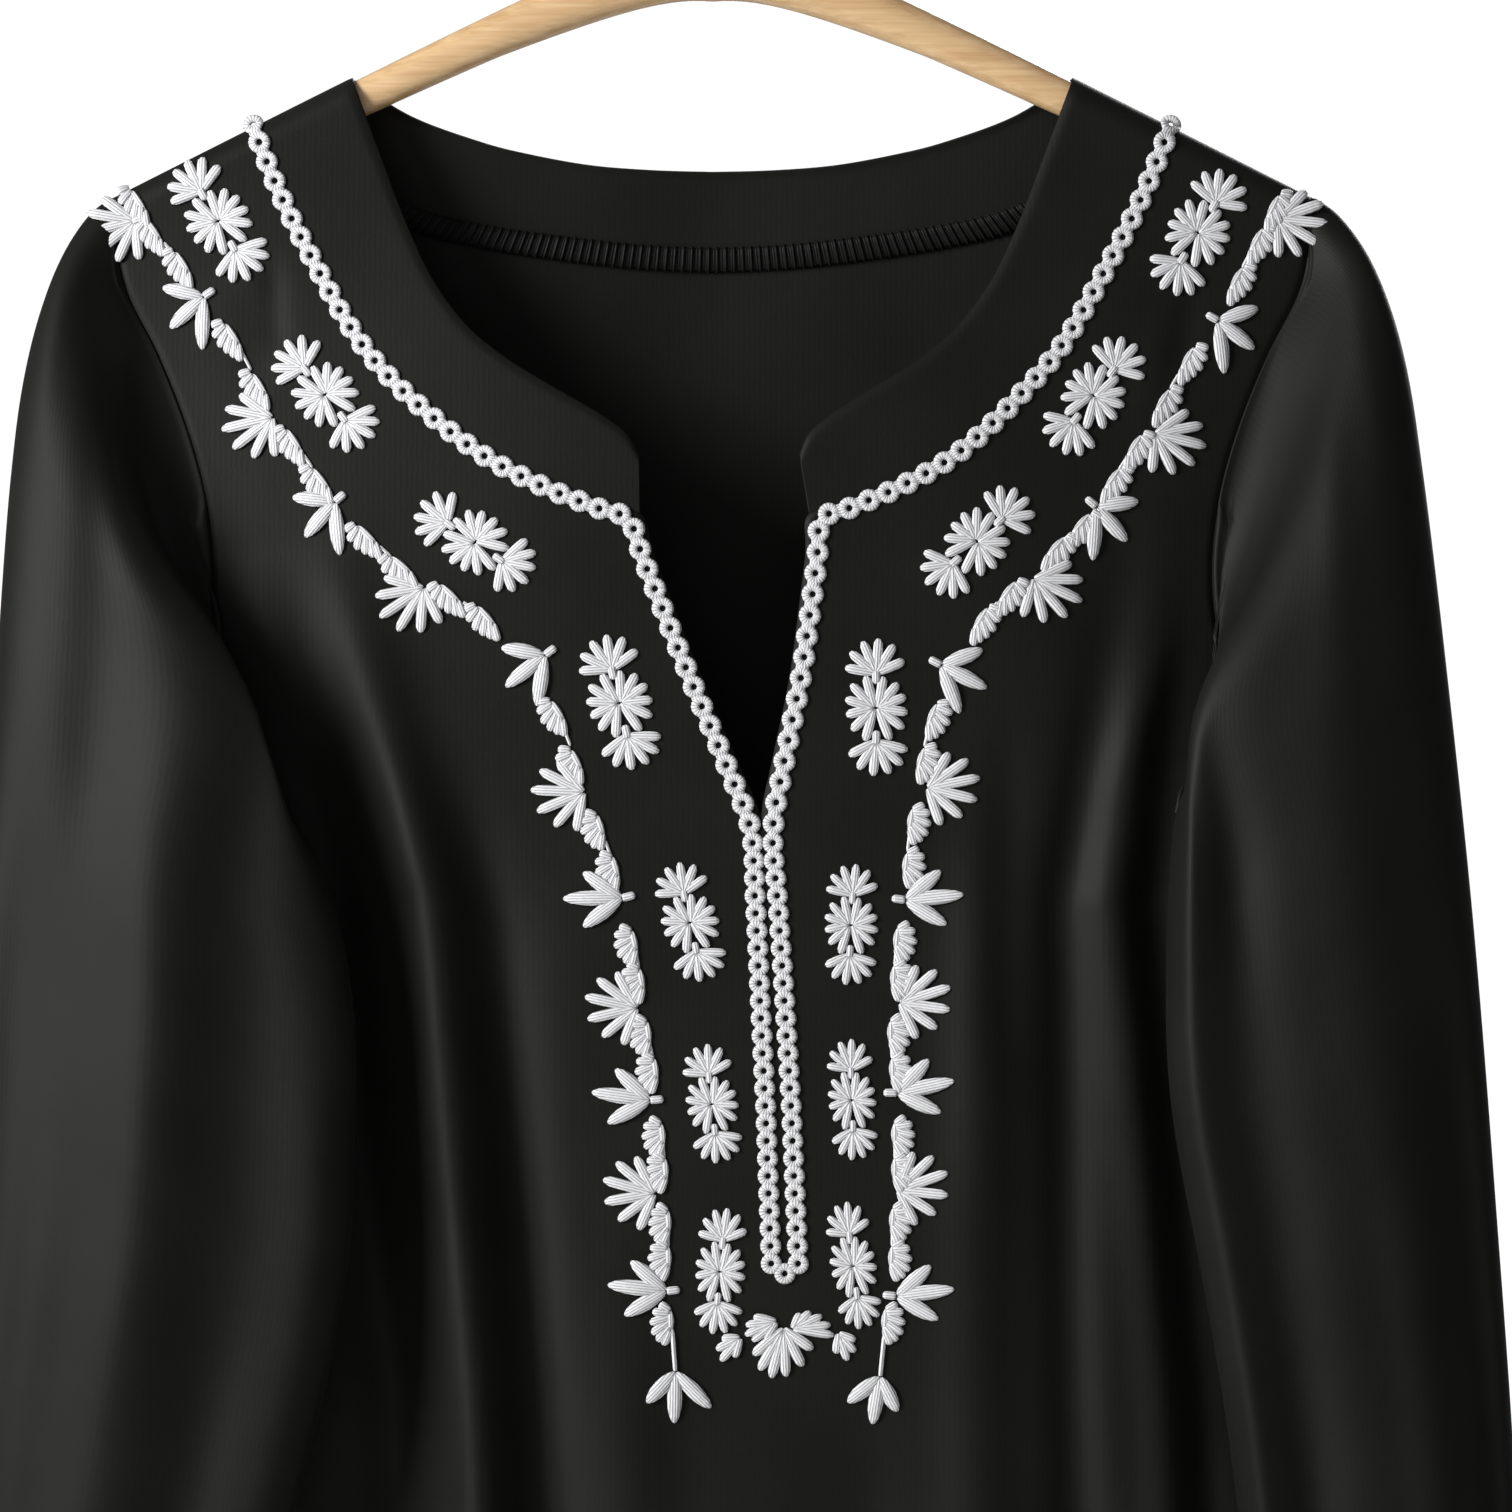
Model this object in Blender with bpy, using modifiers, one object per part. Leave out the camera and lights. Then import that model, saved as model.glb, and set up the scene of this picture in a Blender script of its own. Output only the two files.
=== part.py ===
"""Embroidered long-sleeved top hanging on a wooden hanger.

Metres, +Z up. The origin is the inner top of the hanger's hook, where a rod carries it.
+X is the viewer's right and +Y points away from the viewer, so the front faces -Y.
"""

import math

import bmesh
import bpy
import numpy as np

MM = 0.001

# Levels are millimetres down from the neck level, where the neck edges meet the shoulders
NECK_LEVEL = -0.145

# Cloth
WALL = 1.2
SEAM_GAP = 0.5
ARMHOLE_GAP = 0.7
SEAM_PLAY = 0.36
MERGE_DISTANCE = 0.001 * MM

# Shoulders: a bow that falls by SHOULDER_SLOPE each way from its crown
SHOULDER_CROWN = 51.0
SHOULDER_SLOPE = 0.51
SHOULDER_BEND = 25.0
SHOULDER_ROUND = 9.0

# Body: half widths, depths and how square its sections are
UNDERARM_DOWN = 216.0
UNDERARM_HALF = 189.0
HEM_DOWN = 660.0
HEM_FLARE = 16.0
SHOULDER_SPREAD = 0.09
FRONT_DEPTH = 30.0
BACK_DEPTH = 25.0
DEPTH_REACH = 190.0
SQUARE_LEVELS = (40, 150)
SQUARE_POWERS = (4.0, 2.4)

# Steps down from a shoulder seam, as shares of the first row of a table, fine where cloth rounds
SHOULDER_STEPS = (0.0, 0.006, 0.03, 0.085, 0.17, 0.3, 0.6)

# The centre of the front drifts sideways as it hangs, a row for each level: (down, across)
DRIFT_ROWS = (
    (75, 0), (100, 0.5), (140, 4), (190, 10.5), (240, 16),
    (280, 18.5), (330, 21.3), (380, 23.3), (430, 24), (660, 22),
)

# A row for each line across the front, from its neck seam or slit to its armhole or side seam
PANEL_COLUMNS = ("inner_down", "inner_half", "outer_down", "outer_half")
FRONT_ROWS = (
    (12.8, 148, 36.5, 195),
    (37, 138.4, 64, 191.5),
    (60, 127, 88, 180),
    (86, 112, 110, 171),
    (105, 95, 130, 165),
    (121, 76, 148, 162),
    (131, 58, 163, 161.5),
    (136.5, 43, 176, 163),
    (140, 27, 188, 167),
    (155, 23.7, 199, 174),
    (193, 13.8, 208, 181.5),
    (220, 5.2, 213, 186),
    (238, 0, 216, 189),
    (262, 0, 245, 189),
    (292, 0, 280, 189),
    (335, 0, 327, 190),
    (385, 0, 382, 191),
    (445, 0, 445, 193),
    (515, 0, 516, 196),
    (588, 0, 590, 200),
    (658, 0, 660, 205),
)
FRONT_UNDERARM_ROW = 12
FRONT_LEVELS = (*range(1, 15), 14.5, 15, 15.5, 16, 16.5, 17, 17.5, 18, 18.5, 19, 20)

# The same for the back, whose neck seam is shallow
BACK_ROWS = (
    (12.8, 148, 36.5, 195),
    (32, 126, 64, 192.5),
    (45, 98, 90, 186),
    (50.5, 75, 112, 181),
    (54.5, 48, 132, 178),
    (57, 24, 150, 176.5),
    (58, 0, 166, 176),
    (75, 0, 180, 177.5),
    (100, 0, 193, 181),
    (135, 0, 205, 185),
    (175, 0, 213, 187.5),
    (215, 0, 216, 189),
    (252, 0, 248, 189),
    (295, 0, 285, 189),
    (345, 0, 335, 190),
    (400, 0, 393, 191),
    (460, 0, 457, 194),
    (525, 0, 524, 197),
    (590, 0, 592, 200),
    (658, 0, 660, 205),
)
BACK_UNDERARM_ROW = 11
BACK_LEVELS = tuple(range(1, 20))

# A row for each line across a neck band, from its free edge to its seam
BAND_COLUMNS = ("edge_down", "edge_half", "seam_down", "seam_half")
FRONT_BAND_ROWS = (
    (-2.7, 117, 12.8, 148),
    (24, 107, 37, 138.4),
    (45, 99, 60, 127),
    (64, 90, 86, 112),
    (79, 79, 105, 95),
    (90, 66, 121, 76),
    (100, 50, 131, 58),
    (108, 37, 136.5, 43),
    (114, 29.5, 138.6, 34),
    (121, 25.7, 139.7, 27),
)
BACK_BAND_ROWS = (
    (-2.7, 117, 12.8, 148),
    (9, 98, 32, 126),
    (17, 76, 45, 98),
    (21, 60, 50.5, 75),
    (24.5, 40, 54.5, 48),
    (26, 20, 57, 24),
    (26.5, 0, 58, 0),
)

# A row for each long fold: how far across it lies at four levels, and where it starts
FOLD_COLUMNS = ("start", "at_155", "at_264", "at_424", "at_660", "height", "width")
FOLD_LEVELS = (155, 264, 424, 660)
FOLD_GROWS_OVER = 130.0
FOLD_SIDE_POWER = 6
FRONT_FOLDS = (
    (130, -122, -91, -78, -66, 9, 13),
    (215, -92, -72, -66, -44, -7, 11),
    (150, -142, -122, -108, -98, -6, 11),
    (330, -30, -30, -28, -18, 4, 14),
    (140, 127, 118, 131, 142, 9, 12),
    (165, 112, 106, 108, 114, -7, 9),
    (150, 142, 138, 156, 172, -6, 10),
    (350, 78, 78, 76, 84, 6, 13),
    (400, 44, 44, 48, 58, -5, 12),
    (300, -150, -150, -142, -146, 5, 12),
)
BACK_FOLDS = (
    (120, -118, -104, -96, -108, 8, 13),
    (200, -84, -74, -66, -70, -6, 12),
    (260, -30, -28, -24, -34, 6, 16),
    (170, 96, 84, 78, 88, 8, 13),
    (240, 52, 46, 40, 48, -6, 12),
    (150, 138, 130, 128, 138, -6, 12),
)

# A row for each ring of a sleeve: its outer and inner edge and how far each lies forward
SLEEVE_COLUMNS = (
    "along", "outer_down", "outer_half", "outer_forward",
    "inner_down", "inner_half", "inner_forward", "depth",
)
RIGHT_SLEEVE = (
    (0.00, 36.5, 195, 0, 216, 189, 0, 17),
    (0.06, 49, 211, 4, 214, 180, 16, 21),
    (0.13, 74, 221, 12, 224, 160, 27, 24),
    (0.22, 125, 228, 22, 250, 149, 34, 24),
    (0.32, 190, 235, 30, 290, 145, 38, 22),
    (0.45, 270, 243, 34, 340, 147, 40, 20),
    (0.60, 360, 250, 36, 405, 158, 41, 19),
    (0.78, 460, 257, 34, 490, 170, 39, 18),
    (1.00, 585, 262, 30, 600, 180, 35, 17),
)
LEFT_SLEEVE = (
    (0.00, 36.5, 195, 0, 216, 189, 0, 17),
    (0.06, 50, 210, 4, 214, 180, 18, 21),
    (0.13, 76, 219, 12, 224, 153, 33, 24),
    (0.22, 126, 225, 22, 256, 123, 38, 24),
    (0.32, 192, 229, 30, 296, 116, 41, 22),
    (0.45, 272, 234, 34, 345, 117, 43, 20),
    (0.60, 362, 239, 36, 405, 122, 43, 19),
    (0.78, 462, 246, 34, 488, 140, 40, 18),
    (1.00, 585, 252, 30, 600, 166, 35, 17),
)
SLEEVE_AROUND = 36
SLEEVE_RINGS = (
    0, 0.012, 0.03, 0.05, 0.07, 0.09, 0.115, 0.15, 0.195,
    0.24, 0.3, 0.37, 0.44, 0.52, 0.6, 0.68, 0.76, 0.84, 0.92, 1.0,
)
HEAD_BLEND = 0.2
SLEEVE_ROUND = 0.8

# The armhole is read at this many places, closer together towards the shoulder
ARMHOLE_SAMPLES = 400
ARMHOLE_CROWDING = 1.4
ARMHOLE_LOWER_FROM = 150.0
ARMHOLE_LOWER_OVER = 60.0
ARMHOLE_RAISE = 0.4

# How far a sleeve stays clear of the body: at its seam, over the panels and beside them
SEAM_CLEAR = 1.6
BODY_CLEAR = 6.0
CLEAR_REACH = 0.05
SIDE_CLEAR = 5.0
SEAM_SIDE_CLEAR = 1.0
CLEAR_BELOW = 140.0
FULLEST_PUSH = 0.05
BESIDE_FROM = 0.8
BESIDE_OVER = 0.12
PAST_SEAM = 0.001

# Puckers of the sleeve head; angles in radians from the sleeve's outer edge
GATHER_COUNT = 4
GATHER_HEIGHT = 1.6
GATHER_REACH = 0.05
GATHER_ALONG = 0.035
GATHER_ANGLE = 0.35
GATHER_SPREAD = 0.55

# A row for each long fold of a sleeve: its angle from the outer edge at the head and at the cuff
SLEEVE_FOLD_COLUMNS = ("start", "head_angle", "cuff_angle", "height", "width")
SLEEVE_FOLD_GROWS_OVER = 0.2
LEFT_SLEEVE_FOLDS = (
    (0.10, 84, 66, 6, 18),
    (0.14, 122, 108, -4, 17),
    (0.30, 40, 30, -4, 16),
    (0.25, 250, 268, 4, 20),
)
RIGHT_SLEEVE_FOLDS = (
    (0.08, 140, 132, 4, 16),
    (0.12, 104, 98, -5, 18),
    (0.16, 66, 46, 5, 18),
    (0.25, 282, 262, 4, 20),
)

# Ring-chain trim: a flat strip down the band's seam, the slit and beside the centre
TRIM_HALF = 2.9
TRIM_THICK = 0.8
TRIM_LIFT = 0.35
TRIM_SHOULDER_STEPS = (0.12, 0.25, 0.5)
TRIM_COLUMNS = ("down", "half")
TRIM_ROWS = (
    (12.8, 148), (37, 138.4), (60, 127), (86, 112), (105, 95), (121, 76), (131, 58), (138, 41), (142, 31),
    (155, 27.7), (173, 23), (193, 17.6), (220, 9.3), (241, 3.6), (264, 3.6), (296, 3.9), (328, 4.1),
    (354, 4.2), (380, 4.3),
)

# Hanger: its arms' height and width at three places from the middle to a tip
ARM_REACH = 180.0
ARM_SEAT = 0.4
ARM_HEIGHT = (22.0, 15.0, 10.0)
ARM_WIDTH = (15.0, 12.0, 8.0)
ARM_AT = (0.0, 70.0, 180.0)
ARM_TIP_POWER = 14
ARM_RINGS = 27
ARM_AROUND = 12

# Hook, in metres: its wire and arc in degrees, and its neck as places (across, below the arc's centre)
HOOK_WIRE = 0.0019
HOOK_RADIUS = 0.021
HOOK_START_ANGLE = -58.0
HOOK_END_ANGLE = 205.0
HOOK_ARC_POINTS = 22
HOOK_SEAT = 0.3 * MM
HOOK_NECK = ((0.0, 0.040), (0.0005, 0.033), (0.0035, 0.026))

# Fineness of the panels and bands, and the least distance in millimetres that counts as apart
FRONT_HALF_COLUMNS = 17
BACK_HALF_COLUMNS = 12
BAND_ACROSS = 3
TOUCHING = 0.01


def clear_scene():
    for thing in list(bpy.data.objects):
        bpy.data.objects.remove(thing, do_unlink=True)


def material(name, colour, roughness, metallic=0.0, sheen=0.0):
    made = bpy.data.materials.new(name)
    made.use_nodes = True
    shader = made.node_tree.nodes["Principled BSDF"]
    shader.inputs["Base Color"].default_value = (*colour, 1.0)
    shader.inputs["Roughness"].default_value = roughness
    shader.inputs["Metallic"].default_value = metallic
    shader.inputs["Sheen Weight"].default_value = sheen
    made.diffuse_color = (*colour, 1.0)
    return made


def through(rows, columns, name, at):
    """A smooth curve through one column of a table, read at row numbers `at` (Catmull-Rom)."""
    values = np.array([row[columns.index(name)] for row in rows], float)
    at = np.asarray(at, float)
    low = np.clip(np.floor(at).astype(int), 0, len(values) - 2)
    share = at - low
    before = values[np.maximum(low - 1, 0)]
    start = values[low]
    end = values[low + 1]
    after = values[np.minimum(low + 2, len(values) - 1)]
    leave = (end - before) / 2
    arrive = (after - start) / 2
    square = share * share
    cube = square * share
    return (
        (2 * cube - 3 * square + 1) * start
        + (cube - 2 * square + share) * leave
        + (3 * square - 2 * cube) * end
        + (cube - square) * arrive
    )


def smooth_step(value):
    """Rises from 0 to 1 with level ends."""
    value = np.clip(value, 0, 1)
    return value * value * (3 - 2 * value)


def shoulder_level(half):
    """Height of the shoulder line above the neck level, a bow with a rounded crown."""
    return SHOULDER_CROWN - SHOULDER_SLOPE * (np.sqrt(half**2 + SHOULDER_BEND**2) - SHOULDER_BEND)


def closing_half(down):
    """Half width at which front and back would meet: the side seam, and wider above the underarm."""
    below = (down - UNDERARM_DOWN) / (HEM_DOWN - UNDERARM_DOWN)
    flare = HEM_FLARE * np.clip(below, 0, None) ** 2
    return UNDERARM_HALF + flare + SHOULDER_SPREAD * np.clip(UNDERARM_DOWN - down, 0, None)


def drift(down):
    """Sideways drift of the front's centre line at a level."""
    levels, across = zip(*DRIFT_ROWS)
    return np.interp(down, levels, across)


def fold_height(folds, x, down):
    """Sum of long soft ridges and troughs, each a bell across its line, growing from its start."""
    total = np.zeros(np.broadcast(x, down).shape)
    for row in folds:
        fold = dict(zip(FOLD_COLUMNS, row))
        line = np.interp(down, FOLD_LEVELS, [fold[f"at_{level}"] for level in FOLD_LEVELS])
        grown = smooth_step((down - fold["start"]) / FOLD_GROWS_OVER)
        total += fold["height"] * grown * np.exp(-(((x - line) / fold["width"]) ** 2))
    return total


def hanging_depth(x, down, depth, folds):
    """How far the middle of a section stands out: round over the arm, then deeper, with its folds."""
    dropped = np.clip(shoulder_level(np.abs(x)) + down, 0, None)
    over_arm = np.sqrt(1 - (1 - np.clip(dropped / SHOULDER_ROUND, 0, 1)) ** 2)
    hanging = SHOULDER_ROUND * over_arm + (depth - SHOULDER_ROUND) * smooth_step(dropped / DEPTH_REACH)
    share = np.clip(np.abs(x) / closing_half(down), 0, 1)
    return hanging, fold_height(folds, x, down) * (1 - share**FOLD_SIDE_POWER) + SEAM_PLAY


def squareness(down):
    """Power of the section's oval: squarer at the shoulders, rounder at the chest and below."""
    return np.interp(down, SQUARE_LEVELS, SQUARE_POWERS)


def body_depth(x, down, depth, folds):
    """How far the cloth stands out from the plane of the hanger, closing to the side seam."""
    hanging, folded = hanging_depth(x, down, depth, folds)
    power = squareness(down)
    share = np.clip(np.abs(x) / closing_half(down), 0, 1)
    return hanging * (1 - share**power) ** (1 / power) + folded


def front_y(x, down):
    return -body_depth(x, down, FRONT_DEPTH, FRONT_FOLDS)


def back_y(x, down):
    return body_depth(x, down, BACK_DEPTH, BACK_FOLDS)


def to_space(x, y, down):
    """Stacks millimetre arrays into points in metres."""
    x, y, down = np.broadcast_arrays(x, y, down)
    return np.stack([x * MM, y * MM, NECK_LEVEL - down * MM], axis=-1)


def grid_faces(rows, columns, around, flip):
    """Quads of a grid of points, numbered row by row, closed round when `around` is set."""
    last = columns if around else columns - 1
    row, column = np.meshgrid(np.arange(rows - 1), np.arange(last), indexing="ij")
    here = row * columns + column
    beside = row * columns + (column + 1) % columns
    quads = np.stack([here, beside, beside + columns, here + columns], axis=-1).reshape(-1, 4)
    return quads[:, ::-1] if flip else quads


def add_object(name, points, faces, finish, collection):
    mesh = bpy.data.meshes.new(name)
    mesh.from_pydata([tuple(point) for point in points], [], [tuple(int(i) for i in face) for face in faces])
    mesh.materials.append(finish)
    made = bpy.data.objects.new(name, mesh)
    collection.objects.link(made)
    return made


def add_cloth(name, grids, finish, collection, around=False, wall=WALL):
    """Cloth from one or more grids (points, flip), merged where they meet and given a wall inwards."""
    points = np.concatenate([grid.reshape(-1, 3) for grid, _ in grids])
    faces = []
    first = 0
    for grid, flip in grids:
        faces.extend(grid_faces(grid.shape[0], grid.shape[1], around, flip) + first)
        first += grid.shape[0] * grid.shape[1]
    made = add_object(name, points, faces, finish, collection)
    work = bmesh.new()
    work.from_mesh(made.data)
    bmesh.ops.remove_doubles(work, verts=work.verts, dist=MERGE_DISTANCE)
    work.to_mesh(made.data)
    work.free()
    made.data.shade_smooth()
    shell = made.modifiers.new("wall", "SOLIDIFY")
    shell.thickness = wall * MM
    shell.offset = -1.0
    return made


def row_numbers(levels):
    return np.array(SHOULDER_STEPS + tuple(levels), float)


def panel_edges(rows, numbers, drifts):
    """Inner and outer ends of each line across a panel, as (across, down) for the right half."""
    column = {name: through(rows, PANEL_COLUMNS, name, numbers) for name in PANEL_COLUMNS}
    below = column["outer_down"] >= UNDERARM_DOWN - TOUCHING
    outer_half = np.where(below, closing_half(column["outer_down"]), column["outer_half"])
    centred = np.where(column["inner_half"] < TOUCHING, 0, column["inner_half"])
    shift = drift(column["inner_down"]) if drifts else np.zeros(len(numbers))
    return centred, shift, column["inner_down"], outer_half, column["outer_down"]


def panel_half(rows, numbers, side, columns, drifts, depth_of):
    inner_half, shift, inner_down, outer_half, outer_down = panel_edges(rows, numbers, drifts)
    share = np.sin(np.linspace(0, math.pi / 2, columns + 1))[None, :]
    inner_x = (side * inner_half + shift)[:, None]
    outer_x = (side * outer_half)[:, None]
    x = inner_x + (outer_x - inner_x) * share
    down = inner_down[:, None] + (outer_down - inner_down)[:, None] * share
    return to_space(x, depth_of(x, down), down)


def build_panel(name, rows, levels, columns, drifts, depth_of, facing, finish, collection):
    """Front or back: two mirrored halves that share the centre line below the slit or the neck."""
    numbers = row_numbers(levels)
    grids = []
    for side in (-1, 1):
        grid = panel_half(rows, numbers, side, columns, drifts, depth_of)
        grids.append((grid, side * facing > 0))
    return add_cloth(name, grids, finish, collection)


def band_grid(rows, numbers, side, drifts, depth_of, seam_back):
    """Points of a neck band between its free edge and its seam, kept `seam_back` off the seam."""
    column = {name: through(rows, BAND_COLUMNS, name, numbers) for name in BAND_COLUMNS}
    edge_x = side * column["edge_half"]
    seam_x = side * column["seam_half"]
    if drifts:
        edge_x = edge_x + drift(column["edge_down"])
        seam_x = seam_x + drift(column["seam_down"])
    width = np.hypot(seam_x - edge_x, column["seam_down"] - column["edge_down"])
    share = np.linspace(0, 1, BAND_ACROSS + 1)[None, :] * (1 - seam_back / width)[:, None]
    x = edge_x[:, None] + (seam_x - edge_x)[:, None] * share
    down = column["edge_down"][:, None] + (column["seam_down"] - column["edge_down"])[:, None] * share
    return to_space(x, depth_of(x, down), down)


def build_front_band(name, side, finish, collection):
    numbers = row_numbers(range(1, len(FRONT_BAND_ROWS)))
    grid = band_grid(FRONT_BAND_ROWS, numbers, side, True, front_y, SEAM_GAP)
    return add_cloth(name, [(grid, side > 0)], finish, collection)


def build_back_band(finish, collection):
    numbers = row_numbers(range(1, len(BACK_BAND_ROWS)))
    left = band_grid(BACK_BAND_ROWS, numbers, -1, False, back_y, SEAM_GAP)
    right = band_grid(BACK_BAND_ROWS, numbers, 1, False, back_y, SEAM_GAP)
    return add_cloth("neck_band_back", [(left, True), (right, False)], finish, collection)


def armhole_edge(rows, underarm_row, side, depth_of, count):
    """Points down one side of an armhole, shoulder to underarm, closer together at the shoulder."""
    numbers = np.linspace(0, underarm_row, ARMHOLE_SAMPLES)
    _, _, _, half, down = panel_edges(rows, numbers, False)
    x = side * half
    points = np.stack([x, depth_of(x, down), down], axis=-1)
    length = np.concatenate([[0], np.cumsum(np.linalg.norm(np.diff(points, axis=0), axis=1))])
    wanted = length[-1] * np.linspace(0, 1, count + 1) ** ARMHOLE_CROWDING
    edge = np.stack([np.interp(wanted, length, points[:, axis]) for axis in range(3)], axis=-1)
    edge[[0, -1], 1] = 0
    return edge


def armhole_loop(side):
    """The closed armhole as x, y, down: over the front to the underarm and back up behind."""
    half_count = SLEEVE_AROUND // 2
    front = armhole_edge(FRONT_ROWS, FRONT_UNDERARM_ROW, side, front_y, half_count)
    back = armhole_edge(BACK_ROWS, BACK_UNDERARM_ROW, side, back_y, half_count)
    loop = np.concatenate([front, back[-2:0:-1]])
    lower = smooth_step((loop[:, 2] - ARMHOLE_LOWER_FROM) / ARMHOLE_LOWER_OVER)
    loop[:, 0] += side * ARMHOLE_GAP
    loop[:, 2] -= ARMHOLE_RAISE * lower
    return loop


def sleeve_fold_height(folds, along, angle):
    total = np.zeros(np.broadcast(along, angle).shape)
    for row in folds:
        fold = dict(zip(SLEEVE_FOLD_COLUMNS, row))
        line = fold["head_angle"] + (fold["cuff_angle"] - fold["head_angle"]) * along
        grown = smooth_step((along - fold["start"]) / SLEEVE_FOLD_GROWS_OVER)
        total += fold["height"] * grown * np.exp(-(((angle - line) / fold["width"]) ** 2))
    return total


def sleeve_points(side, rings, folds, along, around):
    """Rings of a sleeve: flattened ovals between an outer and an inner edge, begun as the armhole."""
    at = np.interp(along, [row[0] for row in rings], np.arange(len(rings)))
    column = {name: through(rings, SLEEVE_COLUMNS, name, at)[:, None] for name in SLEEVE_COLUMNS}
    angle = np.linspace(0, 2 * math.pi, around, endpoint=False)[None, :]
    turn = (1 + np.cos(angle)) / 2
    half = column["inner_half"] + (column["outer_half"] - column["inner_half"]) * turn
    down = column["inner_down"] + (column["outer_down"] - column["inner_down"]) * turn
    forward = column["inner_forward"] + (column["outer_forward"] - column["inner_forward"]) * turn
    swell = column["depth"] * np.sign(np.sin(angle)) * np.abs(np.sin(angle)) ** SLEEVE_ROUND
    folded = sleeve_fold_height(folds, along[:, None], np.degrees(angle))
    y = -forward - swell - folded * np.sin(angle)
    loop = armhole_loop(side)[None, :, :]
    held = (1 - np.clip(along / HEAD_BLEND, 0, 1))[:, None] ** 2
    x = side * half * (1 - held) + loop[..., 0] * held
    y = y * (1 - held) + loop[..., 1] * held
    down = down * (1 - held) + loop[..., 2] * held
    return clear_of_body(x, y, down, along)


def clear_of_body(x, y, down, along):
    """Sleeve points inside the body's section are pushed out of it: forwards over the panels, and
    away from the middle of the body near its sides."""
    front = np.add(*hanging_depth(x, down, FRONT_DEPTH, FRONT_FOLDS))
    back = np.add(*hanging_depth(x, down, BACK_DEPTH, BACK_FOLDS))
    grown = smooth_step(along / CLEAR_REACH)[:, None]
    clear = SEAM_CLEAR + (BODY_CLEAR - SEAM_CLEAR) * grown
    depth = np.where(y < 0, front, back) + clear
    power = squareness(down)
    side_clear = SEAM_SIDE_CLEAR + (SIDE_CLEAR - SEAM_SIDE_CLEAR) * grown
    share = np.clip(np.abs(x) / (closing_half(down) + side_clear), 0, 1)
    fill = share**power + (np.abs(y) / depth) ** power
    inside = (fill < 1) & (along[:, None] > PAST_SEAM) & (down > CLEAR_BELOW)
    outward = np.where(inside, np.clip(fill, FULLEST_PUSH, 1) ** (-1 / power), 1)
    lying = np.where(y < 0, -1, 1) * depth * (1 - share**power) ** (1 / power)
    beside = smooth_step((share - BESIDE_FROM) / BESIDE_OVER)
    pushed_x = x * (1 + (outward - 1) * beside)
    pushed_y = y * outward * beside + lying * (1 - beside)
    return np.where(inside, pushed_x, x), np.where(inside, pushed_y, y), down


def gathers(along, around):
    """Soft puckers along the sleeve head, fading below it."""
    angle = np.linspace(0, 2 * math.pi, around, endpoint=False)[None, :]
    from_middle = np.angle(np.exp(1j * (angle - GATHER_ANGLE)))
    near_head = np.exp(-((from_middle / GATHER_SPREAD) ** 2))
    below_head = (along - GATHER_ALONG) / GATHER_REACH
    fade = np.exp(-(below_head**2)) * (along > PAST_SEAM)
    return GATHER_HEIGHT * near_head * fade[:, None] * np.cos(angle * GATHER_COUNT * 2)


def build_sleeve(name, side, rings, folds, finish, collection):
    along = np.array(SLEEVE_RINGS)
    x, y, down = sleeve_points(side, rings, folds, along, SLEEVE_AROUND)
    x = x + side * gathers(along, SLEEVE_AROUND)
    return add_cloth(name, [(to_space(x, y, down), side < 0)], finish, collection, around=True)


def surface_normal(x, down):
    """Outward unit normal of the front's surface, from its slopes across and down."""
    step = 0.2
    slope_x = (front_y(x + step, down) - front_y(x - step, down)) / (2 * step)
    slope_down = (front_y(x, down + step) - front_y(x, down - step)) / (2 * step)
    length = np.sqrt(slope_x**2 + 1 + slope_down**2)
    return slope_x / length, -1 / length, slope_down / length


def build_trim(name, side, finish, collection):
    """A flat strip on the front's own points, moved out, with its middle on the seam."""
    last = len(TRIM_ROWS) - 1
    numbers = np.concatenate([TRIM_SHOULDER_STEPS, np.arange(2, 2 * last + 1) / 2])
    half = through(TRIM_ROWS, TRIM_COLUMNS, "half", numbers)
    down = through(TRIM_ROWS, TRIM_COLUMNS, "down", numbers)
    x = side * half + drift(down)
    run_x, run_down = np.gradient(x), np.gradient(down)
    length = np.hypot(run_x, run_down)
    offset = np.array([-TRIM_HALF, 0, TRIM_HALF])[None, :]
    across_x = x[:, None] + offset * (-run_down / length)[:, None]
    across_down = down[:, None] + offset * (run_x / length)[:, None]
    normal = surface_normal(across_x, across_down)
    lift = TRIM_LIFT + TRIM_THICK
    points = to_space(
        across_x + normal[0] * lift,
        front_y(across_x, across_down) + normal[1] * lift,
        across_down + normal[2] * lift,
    )
    return add_cloth(name, [(points, True)], finish, collection, wall=TRIM_THICK)


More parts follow.
